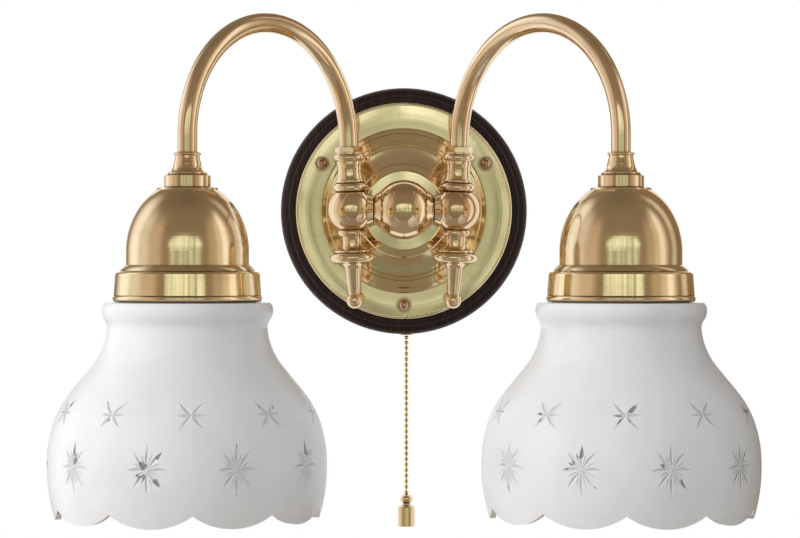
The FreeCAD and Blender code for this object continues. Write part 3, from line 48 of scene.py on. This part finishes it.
class Num:
    """A shader value. Its operators add Math nodes to the material it belongs to."""

    def __init__(self, tree, socket):
        self.tree, self.socket = tree, socket

    def maths(self, operation, *others):
        node = self.tree.nodes.new("ShaderNodeMath")
        node.operation = operation
        for slot, value in zip(node.inputs, (self, *others)):
            if isinstance(value, Num):
                self.tree.links.new(value.socket, slot)
            else:
                slot.default_value = value
        return Num(self.tree, node.outputs[0])

    def __add__(self, other):
        return self.maths("ADD", other)

    def __sub__(self, other):
        return self.maths("SUBTRACT", other)

    def __mul__(self, other):
        return self.maths("MULTIPLY", other)

    def __truediv__(self, other):
        return self.maths("DIVIDE", other)

    def __mod__(self, other):
        return self.maths("FLOORED_MODULO", other)

    def __gt__(self, other):
        return self.maths("GREATER_THAN", other)

    def __abs__(self):
        return self.maths("ABSOLUTE")

    def __neg__(self):
        return self * -1

    def __rsub__(self, other):
        return self * -1 + other

    __radd__ = __add__
    __rmul__ = __mul__

    def sin(self):
        return self.maths("SINE")

    def cos(self):
        return self.maths("COSINE")

    def root(self):
        return self.maths("SQRT")

    def low(self, other):
        return self.maths("MINIMUM", other)

    def high(self, other):
        return self.maths("MAXIMUM", other)

    def angle(self, x):
        return self.maths("ARCTAN2", x)

    def clamp(self):
        return self.high(0.0).low(1.0)

    def ramp(self, start, end):
        """0 up to start, 1 from end on, and smooth between them."""
        at = ((self - start) / (end - start)).clamp()
        return at * at * (3 - 2 * at)

    def band(self, start, end, soft):
        """1 between start and end, with soft edges."""
        return self.ramp(start - soft, start + soft) * (1 - self.ramp(end - soft, end + soft))


class Finish:
    """A node material, or the world."""

    def __init__(self, name, world=None):
        self.block = world or bpy.data.materials.new(name)
        self.block.use_nodes = True
        self.tree = self.block.node_tree
        self.tree.nodes.clear()
        kind = "ShaderNodeOutputWorld" if world else "ShaderNodeOutputMaterial"
        self.end = self.tree.nodes.new(kind).inputs["Surface"]

    def node(self, kind, settings=None, output=0, **values):
        """Any node: its settings first, then the values or links of its sockets."""
        made = self.tree.nodes.new(kind)
        for key, value in (settings or {}).items():
            setattr(made, key, value)
        for key, value in values.items():
            slot = made.inputs[int(key[1:])] if key[1:].isdigit() else made.inputs[key.replace("_", " ")]
            if isinstance(value, Num):
                self.tree.links.new(value.socket, slot)
            elif isinstance(value, tuple) and slot.type == "RGBA":
                slot.default_value = (*value, 1)[:4]
            else:
                slot.default_value = value
        return Num(self.tree, made.outputs[output])

    def other(self, value, output):
        """Another output of the node that a value comes from."""
        return Num(self.tree, value.socket.node.outputs[output])

    def mix(self, factor, first, second):
        """Colours mixed by a factor."""
        return self.node("ShaderNodeMix", {"data_type": "RGBA"}, 2, i0=factor, i6=first, i7=second)

    def shaders(self, factor, first, second):
        return self.node("ShaderNodeMixShader", i0=factor, i1=first, i2=second)

    def place(self, scale=(1, 1, 1), turn=(0, 0, 0), move=(0, 0, 0)):
        """Object coordinates, scaled, turned and moved."""
        where = self.node("ShaderNodeTexCoord", output=3)
        return self.node("ShaderNodeMapping", Vector=where, Location=move, Rotation=turn, Scale=scale)

    def parts(self, vector):
        """X, Y and Z of a vector."""
        first = self.node("ShaderNodeSeparateXYZ", i0=vector)
        return [self.other(first, i) for i in range(3)]

    def noise(self, vector, scale, detail=3.0, roughness=0.5):
        return self.node("ShaderNodeTexNoise", Vector=vector, Scale=scale, Detail=detail,
                         Roughness=roughness)

    def streaks(self, along, scale, detail=2.0):
        """Noise along one value only, for marks that run straight or round."""
        one_way = {"noise_dimensions": "1D"}
        return self.node("ShaderNodeTexNoise", one_way, W=along, Scale=scale, Detail=detail)

    def bump(self, height, distance, strength=1.0, normal=None):
        extra = {} if normal is None else {"Normal": normal}
        return self.node("ShaderNodeBump", Height=height, Distance=distance, Strength=strength, **extra)

    def surface(self, **values):
        """The Principled shader, put on the output."""
        shader = self.node("ShaderNodeBsdfPrincipled", **values)
        return self.finish_with(shader)

    def finish_with(self, shader):
        self.tree.links.new(shader.socket, self.end)
        return shader


def backdrop(name, corners, colour, lit=None):
    """A one-sided plane of the studio. lit is how bright it is to the eye and in reflections."""
    mesh = bmesh.new()
    mesh.faces.new([mesh.verts.new(c) for c in corners])
    plane = bpy.data.objects.new(name, bpy.data.meshes.new(name))
    mesh.to_mesh(plane.data)
    mesh.free()
    bpy.context.scene.collection.objects.link(plane)
    paint = Finish(name)
    front = paint.node("ShaderNodeBsdfDiffuse", Color=colour)
    if lit:
        ray = paint.node("ShaderNodeLightPath")
        seen = paint.other(ray, "Is Camera Ray").high(paint.other(ray, "Is Transmission Ray"))
        seen = seen.high(paint.other(ray, "Is Glossy Ray"))
        front = paint.shaders(seen, front, paint.node("ShaderNodeEmission", Color=(1, 1, 1), Strength=lit))
    clear = paint.node("ShaderNodeBsdfTransparent")
    behind = paint.node("ShaderNodeNewGeometry", output=6)
    paint.finish_with(paint.shaders(behind, front, clear))
    plane.data.materials.append(paint.block)


board_gap, board_side, board_foot, board_top = 0.0004, 0.2, -0.2, 0.11
backdrop("studio_board", [
    (-board_side, board_gap, board_foot), (board_side, board_gap, board_foot),
    (board_side, board_gap, board_top), (-board_side, board_gap, board_top),
], (0.82, 0.81, 0.79), 1.0)
floor_level, floor_side, floor_front, floor_back = -1.4, 1.2, -1.7, 0.5
backdrop("studio_floor", [
    (-floor_side, floor_front, floor_level), (floor_side, floor_front, floor_level),
    (floor_side, floor_back, floor_level), (-floor_side, floor_back, floor_level),
], (0.46, 0.39, 0.32))


def softbox(name, spot, size, power):
    """A soft square lamp that points at the light's middle. The brass mirrors the room in its place."""
    lamp = bpy.data.lights.new(name, "AREA")
    lamp.size, lamp.energy = size, power
    holder = bpy.data.objects.new(name, lamp)
    holder.location = spot
    holder.rotation_euler = (lit_middle - Vector(spot)).to_track_quat("-Z", "Y").to_euler()
    holder.visible_glossy = False
    bpy.context.scene.collection.objects.link(holder)


lit_middle = Vector((0, -0.1, -0.05))
softbox("left_lamp", (-1.65, -0.85, 0.35), 0.8, 10.5)
softbox("right_lamp", (0.9, -1.5, 0.75), 0.6, 2.0)

sky = bpy.data.worlds.new("studio")
bpy.context.scene.world = sky
air = Finish("studio", sky)
ray = air.node("ShaderNodeLightPath")
way = air.node("ShaderNodeTexCoord", output=0)
east, north, up = air.parts(way)
to_degrees = 180 / math.pi
# turn is 0 straight behind the camera and grows to the right. rise is 0 on the level and grows upwards.
turn = east.angle(-north) * to_degrees
rise = up.angle((east * east + north * north).root()) * to_degrees
room = air.mix(rise.ramp(-60, -15), (0.22, 0.15, 0.09), (0.31, 0.245, 0.17))
room = air.mix(rise.ramp(14, 34), room, (0.27, 0.215, 0.155))
room = air.mix(rise.ramp(45, 85), room, (0.20, 0.16, 0.12))
# The left side is a pale wall, brightest far back. The right side has a tan wall with a bright strip, then
# a dimmer strip and the dark. A patch is its turn and its rise, each with a soft edge, and its colour.
patches = (
    ((-140, -47, 9), (-48, 38, 16), (0.66, 0.55, 0.45)),
    ((-136, -76, 9), (-50, 40, 16), (0.86, 0.83, 0.80)),
    ((-128, -102, 8), (-55, 45, 16), (1.2, 1.24, 1.3)),
    ((45, 95, 6), (-40, 36, 16), (0.52, 0.43, 0.32)),
    ((62, 92, 6), (-45, 40, 14), (0.76, 0.67, 0.54)),
    ((74, 87, 3), (-50, 44, 12), (1.16, 1.1, 1.08)),
    ((107, 122, 4), (-60, 55, 12), (0.72, 0.66, 0.58)),
    ((126, 180, 4), (-60, 60, 12), (0.28, 0.19, 0.11)),
)
for sideways, upright, paint in patches:
    room = air.mix(turn.band(*sideways) * rise.band(*upright), room, paint)
# Behind the camera: a window with bars, dim in its lower part, and a bright round arch in its upper part.
window = turn.band(-29, 29, 3.5) * rise.band(-26, 19, 3)
bars = turn.band(5, 7, 0.8) + turn.band(15, 18.5, 1.0) + turn.band(-22, -20.5, 0.8) * 0.6
blotches = air.noise(way, 9.0, 2.0).ramp(0.40, 0.58)
pane = air.mix(blotches, (0.36, 0.38, 0.27), (0.74, 0.82, 0.66))
pane = air.mix(rise.ramp(-13, -5), (0.27, 0.27, 0.19), pane)
room = air.mix(window, room, pane)
# The arch is 34 degrees wide to each side and 14 degrees high, above a rise of 9 degrees.
arch = (turn * turn) / 1150.0 + ((rise - 9) * (rise - 9)) / 190.0
slats = air.streaks(turn, 0.3, 3.0).ramp(0.32, 0.62) * (1 - (bars * 0.8).clamp())
light = air.mix(slats, (0.58, 0.65, 0.47), (1.24, 1.32, 1.18))
room = air.mix(arch.ramp(1.0, 0.7) * rise.ramp(1, 9), room, light)
room = air.mix((bars * 0.6).clamp() * window, room, (0.26, 0.28, 0.2))
# What lights the matt surfaces is colourless, and weaker from the right.
left_light, front_light, right_light = (1.02,) * 3, (0.66,) * 3, (0.15,) * 3
soft = air.mix(turn.ramp(25, 95), air.mix(turn.ramp(-80, -20), left_light, front_light), right_light)
colour = air.mix(air.other(ray, "Is Glossy Ray"), soft, room)
seen = air.other(ray, "Is Camera Ray").high(air.other(ray, "Is Transmission Ray"))
air.finish_with(air.node("ShaderNodeBackground", Color=air.mix(seen, colour, (1, 1, 1)), Strength=1.0))

# The camera stands 1.59 m from the wall, a little below the hub, and looks straight at the wall.
eye = bpy.data.objects.new("eye", bpy.data.cameras.new("eye"))
eye.data.lens, eye.data.sensor_width = 130.5, 36
eye.location = (-0.0021, -1.5885, -0.0315)
eye.rotation_euler = (math.radians(90), 0, 0)
eye.data.clip_start, eye.data.clip_end = 0.05, 50
bpy.context.scene.collection.objects.link(eye)
bpy.context.scene.camera = eye
bpy.context.scene.view_settings.view_transform = "Standard"

# ---- Pull chain --------------------------------------------------------------------------------------
# A brass ball chain: hollow beads pressed round small dumbbell links. It runs from the switch down through
# the guide and hangs free, with a turned brass pull at its end.


def dress(finish, *names):
    """Gives CAD nodes a finish."""
    for name in names:
        nodes[name].data.materials.clear()
        nodes[name].data.materials.append(finish.block)


def pair(*names):
    """The names of pieces that both arms have."""
    return [f"{name}_{side}" for name in names for side in ("left", "right")]


def brass(name, rough, marks="level", tone=(0.86, 0.69, 0.44), deep=(0.72, 0.53, 0.34), age=0.6, cut=1.0):
    """Unlacquered brass, gone slightly brown in places, with painted shade darkening its corners and the
    joints between parts, which also stands for the tarnish there. rough is how dull the polish is, cut how
    deep its marks are. They lie level on what is turned upright, round on what is spun about the hub's axis,
    and lengthwise on the bent tubes."""
    # Square to the arms' upright planes, which stand at 48.3 degrees to the wall.
    square_x, square_y = 0.747, 0.665
    metal = Finish(name)
    at = metal.place()
    x, y, z = metal.parts(at)
    round_axis = (x * x + z * z).root()
    along = {"level": z, "round": round_axis, "lengthwise": abs(x) * square_x + y * square_y}[marks]
    lines = metal.streaks(along, 1400.0)
    broad = metal.streaks(along, 260.0)
    cloud = metal.noise(at, 42.0, 4.0)
    stain = metal.noise(at, 210.0, 5.0, 0.65)
    aged = cloud.ramp(0.42, 0.68) * age + stain.ramp(0.56, 0.78) * 0.22 + broad.ramp(0.5, 0.75) * 0.18
    # Painted shade: ambient occlusion darkens the colour in corners and between parts, standing also for
    # tarnish there.
    shade = metal.node("ShaderNodeAmbientOcclusion", {"samples": 8}, 1, Distance=0.0025)
    painted_corner_shade = 1 - shade.ramp(0.3, 0.85)
    skin = metal.mix(aged.clamp(), tone, deep)
    metal.surface(
        Base_Color=metal.mix(painted_corner_shade * 0.92, skin, (0.10, 0.052, 0.025)), Metallic=1.0,
        Roughness=rough + lines.ramp(0.35, 0.7) * 0.05 + aged.clamp() * 0.05 + painted_corner_shade * 0.1,
        Normal=metal.bump(lines, 0.000012 * cut, 0.6, metal.bump(cloud, 0.0004, 0.25)),
    )
    return metal


def chain_piece(name, body, node, spots):
    """Beads at spots, with a link between each two of them, in place of a CAD node."""
    mesh = bmesh.new()
    for spot in spots:
        at = Matrix.Translation(spot)
        bmesh.ops.create_uvsphere(mesh, u_segments=14, v_segments=9, radius=bead_radius, matrix=at)
    for upper, lower in zip(spots, spots[1:]):
        middle = (Vector(upper) + Vector(lower)) / 2
        bmesh.ops.create_cone(mesh, cap_ends=False, segments=8, radius1=link_radius, radius2=link_radius,
                              depth=link_length, matrix=Matrix.Translation(middle))
    bmesh.ops.recalc_face_normals(mesh, faces=mesh.faces)
    for face in mesh.faces:
        face.smooth = True
    piece = bpy.data.objects.new(name, bpy.data.meshes.new(name))
    mesh.to_mesh(piece.data)
    mesh.free()
    bpy.context.scene.collection.objects.link(piece)
    piece.data.materials.append(bead_brass.block)
    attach(piece, body)
    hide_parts(node)
    return piece


bead_radius, link_radius, link_length, bead_pitch = 0.0012, 0.0004, 0.0018, 0.00302
hanging_beads, first_level = 28, -0.0690
bead_brass = brass("bead_brass", 0.12, tone=(0.84, 0.62, 0.30), deep=(0.66, 0.42, 0.2))
hang_x, hang_y = 0.0014, -0.0065
# The route from the first bead to the pull is straight down, since the pull's weight keeps the chain taut.
route = bpy.data.curves.new("chain_route", "CURVE")
route.dimensions = "3D"
line = route.splines.new("NURBS")
line.points.add(3)
for point, level in zip(line.points, (-0.0705, -0.095, -0.125, -0.1545)):
    point.co = (hang_x, hang_y, level, 1)
line.order_u, line.use_endpoint_u = 3, True
guide_line = bpy.data.objects.new("chain_route", route)
followed = [v.co.copy() for v in bpy.data.meshes.new_from_object(guide_line).vertices]
bpy.data.objects.remove(guide_line)


def spread(points, count, inset):
    """Places along a line of points: count of them, the first and last inset from its ends."""
    ends = [0.0]
    for a, b in zip(points, points[1:]):
        ends.append(ends[-1] + (b - a).length)
    places = []
    for i in range(count):
        reach = inset + (ends[-1] - 2 * inset) * i / (count - 1)
        k = max(j for j in range(len(points) - 1) if ends[j] <= reach)
        places.append(points[k].lerp(points[k + 1], (reach - ends[k]) / (ends[k + 1] - ends[k])))
    return places


hanging = chain_piece("hanging_chain", "pull", "pull_chain", spread(followed, hanging_beads, bead_radius))
first = chain_piece("guide_bead", "bead", "first_bead", [Vector((hang_x, hang_y, first_level))])
low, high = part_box("inner_chain")
inside = [Vector((hang_x, hang_y, high[2])), Vector((hang_x, hang_y, low[2]))]
inner_beads = round((high[2] - low[2]) / bead_pitch)
chain_piece("switch_chain", "slider", "inner_chain", spread(inside, inner_beads, bead_radius))
dress(brass("pull_brass", 0.10, tone=(0.86, 0.66, 0.36)), "chain_pull", "chain_guide")

# ---- Wooden backplate --------------------------------------------------------------------------------
# Turned hardwood with a bead and a rounded edge, stained nearly black over its red-brown grain and
# finished with a thin satin lacquer.

wood = Finish("dark_wood")
along_x, across_y, up_z = wood.parts(wood.place())
turned_rings = wood.streaks((along_x * along_x + up_z * up_z).root(), 900.0)
grain = wood.noise(wood.place((9, 1, 1), (0, 0.3, 0)), 70.0, 6.0, 0.6)
pores = wood.noise(wood.place((4, 1, 1), (0, 0.3, 0)), 700.0, 3.0)
stain = wood.mix(grain.ramp(0.35, 0.7), (0.013, 0.0052, 0.0042), (0.034, 0.0135, 0.0105))
wood.surface(
    Base_Color=wood.mix(pores.ramp(0.58, 0.72) * 0.7, stain, (0.006, 0.003, 0.003)),
    Roughness=0.34 + pores.ramp(0.4, 0.7) * 0.16 + turned_rings * 0.06,
    Normal=wood.bump(pores, 0.00006, 0.5, wood.bump(turned_rings, 0.00002, 0.4)),
    Specular_IOR_Level=0.22, Coat_Weight=0.05, Coat_Roughness=0.3,
)
dress(wood, "wood_backplate")

# ---- Rosette and its cap nuts ------------------------------------------------------------------------
# A stepped disc spun from thin brass sheet and polished, held on the wood by three domed nuts on studs.
# The nuts are of a redder brass, and are painted darker to stand also for the dark reflections in their
# faces.

dress(brass("spun_brass", 0.055, "round", (0.86, 0.72, 0.47), (0.74, 0.58, 0.37), age=0.5),
      "brass_rosette")
dress(brass("nut_brass", 0.09, tone=(0.62, 0.41, 0.27), deep=(0.36, 0.21, 0.13), age=0.9),
      "rosette_cap_nuts")
dress(brass("screw_brass", 0.2), "rosette_studs", "terminal_screws")

# ---- Hub ---------------------------------------------------------------------------------------------
# A turned ball on a threaded stem, with a side ball on each side of it. All are solid brass, bored for the
# cable and polished. Thin black washers part them, and a steel locknut behind the rosette holds the stem.

polished = brass("polished_brass", 0.05, tone=(0.86, 0.67, 0.43), deep=(0.74, 0.51, 0.33), age=0.7)
dress(polished, "hub_ball", "hub_collar", *pair("side_ball"))


def threaded(name, axis):
    """Brass with a screw thread of 1 mm pitch along an axis."""
    metal = Finish(name)
    at = metal.place()
    pitch = 0.001
    groove = (metal.parts(at)[axis] * (2 * math.pi / pitch)).sin() * 0.5 + 0.5
    grime = metal.noise(at, 500.0, 3.0)
    # Painted shade: the colour is darker in the thread's roots, and grime darkens it here and there.
    metal.surface(
        Base_Color=metal.mix((1 - groove) * 0.5 + grime.ramp(0.5, 0.7) * 0.2,
                             (0.80, 0.62, 0.36), (0.35, 0.22, 0.11)),
        Metallic=1.0, Roughness=0.22 + grime * 0.15, Normal=metal.bump(groove, 0.00035, 1.0),
    )
    return metal


dress(threaded("stem_thread", 1), "hub_stem")
dress(threaded("cross_thread", 0), "cross_nipples")
zinc = Finish("zinc_steel")
spangle = zinc.noise(zinc.place(), 900.0, 3.0)
cloudy = zinc.noise(zinc.place(), 120.0, 3.0)
zinc.surface(
    Base_Color=zinc.mix(cloudy.ramp(0.35, 0.65), (0.60, 0.61, 0.62), (0.72, 0.70, 0.64)), Metallic=1.0,
    Roughness=0.28 + spangle * 0.18, Normal=zinc.bump(spangle, 0.00002, 0.6),
)
dress(zinc, "hub_locknut", "hub_lock_washer", "switch_screws")
fibre = Finish("black_fibre")
fluff = fibre.noise(fibre.place(), 1600.0, 4.0)
fibre.surface(
    Base_Color=fibre.mix(fluff.ramp(0.4, 0.65), (0.014, 0.013, 0.012), (0.04, 0.037, 0.034)),
    Roughness=0.75 + fluff * 0.15, Normal=fibre.bump(fluff, 0.00008, 0.7), Specular_IOR_Level=0.3,
)
dress(fibre, "side_washers", *pair("shade_gasket"))

# ---- Columns -----------------------------------------------------------------------------------------
# On each side ball a turned column screws on from above and a second one with a drop hangs below. A thin
# hexagon nut locks the arm in the upper one.

dress(brass("turned_brass", 0.06, tone=(0.86, 0.68, 0.44), deep=(0.74, 0.51, 0.33), age=0.6),
      *pair("upper_column", "arm_locknut", "lower_column", "drop_finial", "arm_ferrule"))

# ---- Arms --------------------------------------------------------------------------------------------
# Brass tube, 10 mm thick, bent on a former and brushed lengthwise. At its outer end a flared ferrule and a
# plain band hide the nipple that joins it to the lampholder.

dress(brass("brushed_tube", 0.10, "lengthwise", tone=(0.86, 0.67, 0.45), deep=(0.74, 0.53, 0.35), cut=1.5),
      *pair("arm_tube"))
dress(brass("band_brass", 0.08, tone=(0.86, 0.66, 0.42), cut=1.5), *pair("collar_band"))

# ---- Domes and galleries -----------------------------------------------------------------------------
# Spun brass, brushed round. The dome covers the lampholder, and the gallery under it carries the glass,
# which a threaded ring clamps from below.

dress(brass("brushed_dome", 0.105, tone=(0.85, 0.68, 0.43), deep=(0.70, 0.53, 0.34), age=0.6, cut=2.2),
      *pair("socket_dome"))
dress(brass("gallery_brass", 0.07, tone=(0.86, 0.69, 0.42), cut=1.5), *pair("shade_gallery", "shade_ring"))
dress(threaded("nipple_thread", 2), "lamp_nipples", *pair("bulb_cap"))

# ---- Glass shades ------------------------------------------------------------------------------------
# Blown glass, frosted by acid all over, then cut on a wheel: a row of ten small stars on the shoulder and
# ten large ones on the belly. The cuts and the edge of the scalloped rim are polished.

glass = Finish("frosted_glass")
x, y, z = glass.parts(glass.place())
side = (x > 0.0) * 2 - 1
lamp_x, lamp_y = 0.10829, -0.14011
out_x, out_y = x - side * lamp_x, y - lamp_y
heading = out_x.angle(-out_y) * to_degrees


def petal(along, across, reach, width):
    """How far inside a pointed cut a place lies, in metres. The cut is widest a little over a third of the
    way out, where it goes about width to each side."""
    at = (along / reach).clamp()
    return at * (1 - at) * (1.3 - at) * (4.9 * width) - abs(across)


def star(turned, level, radius, slope, stretch, rays):
    """A ring of ten stars. rays(u, v) is how deep the cut is at u metres round and v metres up. slope is how
    much longer the wall is than its height, stretch how much taller the star is than wide."""
    u = ((heading - first_star + (half_pitch - turned)) % star_pitch - half_pitch) * (radius / to_degrees)
    v = (z - level) * (slope / stretch)
    return rays(u, v)


def small_rays(u, v):
    u = abs(u)
    cuts = []
    for degrees, reach, width in ((48, 0.0106, 0.00115), (-52, 0.0102, 0.0011), (0, 0.0076, 0.0009)):
        c, s = math.cos(math.radians(degrees)), math.sin(math.radians(degrees))
        cuts.append(petal(u * c + v * s, v * c - u * s, reach, width))
    return cuts[0].high(cuts[1]).high(cuts[2])


def large_rays(u, v):
    away = (u * u + v * v).root()
    bearing = v.angle(u) * to_degrees
    cuts = []
    for start, reach, width in ((22.5, 0.0112, 0.0012), (0.0, 0.0080, 0.00085)):
        fold = ((bearing + start) % ray_pitch - ray_pitch / 2) / to_degrees
        cuts.append(petal(away * fold.cos(), away * fold.sin(), reach, width))
    return cuts[0].high(cuts[1])


# Each shade is turned a little in its gallery: the left one by 6.2 degrees, the right one by -2.
first_star = 2.1 - side * 4.1
star_pitch, half_pitch, ray_pitch = 36.0, 18, 45.0
small_level, small_radius = -0.1015, 0.0630
large_level, large_radius = -0.1275, 0.0697
small = star(0, small_level, small_radius, 1.16, 1.0, small_rays)
large = star(half_pitch, large_level, large_radius, 1.0, 1.22, large_rays)
depth = small.high(large).high(0.0)
# The cuts dent the outer face only, which lies outside the middle of the wall. That slopes out from the neck
# and is upright at the belly.
slope_level, slope_radius, slope_run, belly_radius = -0.0922, 0.0563, 0.589, 0.0672
middle = ((slope_level - z) * slope_run + slope_radius).low(belly_radius)
outside = (out_x * out_x + out_y * out_y).root() > middle
cut = depth.ramp(0.0, 0.00012)
rim_level = -0.14
facing_down = -glass.parts(glass.node("ShaderNodeNewGeometry", output=1))[2]
rim = facing_down.ramp(0.45, 0.7) * (1 - (z > rim_level))
mist = glass.noise(glass.place(), 55.0, 3.0)
grit = glass.noise(glass.place(), 2600.0, 2.0)
frosted = glass.node(
    "ShaderNodeBsdfPrincipled",
    Base_Color=glass.mix(mist.ramp(0.35, 0.65), (0.90, 0.90, 0.90), (0.93, 0.93, 0.93)),
    Roughness=0.29 + mist * 0.06, IOR=1.55, Transmission_Weight=0.1, Normal=glass.bump(grit, 0.00001, 0.5),
)
# Here and there a facet is painted dark: a painted reflection of the dark room that a cut facet mirrors.
painted_dark_facet = glass.noise(glass.place(move=(0.013, 0, 0.004)), 130.0, 1.0).ramp(0.63, 0.67)
polished_cut = glass.node(
    "ShaderNodeBsdfPrincipled", Base_Color=glass.mix(painted_dark_facet, (0.97, 0.98, 0.98), (0.36, 0.37, 0.38)),
    Roughness=0.14, IOR=1.5, Transmission_Weight=0.03, Normal=glass.bump(-depth * outside, 1.1, 1.0),
)
glass.finish_with(glass.shaders(cut.high(rim), frosted, polished_cut))
dress(glass, *pair("glass_shade"))

# ---- Bulbs -------------------------------------------------------------------------------------------
# A round opal bulb in each shade, switched off. It is thin blown glass with a slightly uneven white lining,
# on a brass cap that screws into the lampholder.

opal = Finish("opal_glass")
lining = opal.noise(opal.place(), 90.0, 3.0)
opal.surface(
    Base_Color=opal.mix(lining.ramp(0.35, 0.65), (0.86, 0.86, 0.84), (0.91, 0.91, 0.89)),
    Roughness=0.16 + lining * 0.1, Coat_Weight=0.3, Coat_Roughness=0.08,
)
dress(opal, *pair("bulb_globe"))

# ---- Lampholders -------------------------------------------------------------------------------------
# Moulded brown-black phenolic resin, with the faint flow marks and fine speckle of its wood flour. The cap
# screws onto the nipple under the dome, and the body below it takes the bulb and the ring for the shade.

resin = Finish("phenolic_resin")
flow = resin.noise(resin.place((1, 1, 2.5)), 140.0, 4.0)
flour = resin.noise(resin.place(), 1500.0, 3.0)
resin.surface(
    Base_Color=resin.mix(flow.ramp(0.35, 0.7) * 0.7 + flour.ramp(0.6, 0.8) * 0.3,
                         (0.022, 0.012, 0.009), (0.06, 0.03, 0.02)),
    Roughness=0.24 + flow * 0.12, Normal=resin.bump(flow, 0.00008, 0.4),
)
dress(resin, *pair("lampholder_cap", "lampholder_body"))

# ---- Switch and terminal block -----------------------------------------------------------------------
# White moulded plastic, slightly yellowed and matt from the mould. Both sit in the wood's cavity behind the
# rosette, the switch above the chain's guide and the terminal block above the stem.

plastic = Finish("white_plastic")
sink = plastic.noise(plastic.place(), 60.0, 3.0)
spark = plastic.noise(plastic.place(), 1300.0, 2.0)
plastic.surface(
    Base_Color=plastic.mix(sink.ramp(0.3, 0.7), (0.80, 0.79, 0.75), (0.74, 0.72, 0.65)),
    Roughness=0.42 + spark * 0.16, Normal=plastic.bump(spark, 0.00004, 0.5),
)
dress(plastic, "terminal_block", "switch_case", "switch_lid", "switch_slider")

# ---- Cables ------------------------------------------------------------------------------------------
# Two-core lamp cable in a translucent pale sheath, and the switch's two leads. The cores show faintly and
# the sheath is a little dusty.

sheath = Finish("cable_sheath")
dust = sheath.noise(sheath.place(), 400.0, 4.0)
core = sheath.noise(sheath.place((1, 1, 0.2)), 700.0, 2.0)
sheath.surface(
    Base_Color=sheath.mix(dust.ramp(0.4, 0.7) * 0.6 + core.ramp(0.5, 0.7) * 0.3,
                          (0.70, 0.66, 0.56), (0.50, 0.46, 0.38)),
    Roughness=0.40 + dust * 0.25, Normal=sheath.bump(core, 0.00008, 0.5),
)
dress(sheath, "switch_leads", *pair("lamp_cable"))
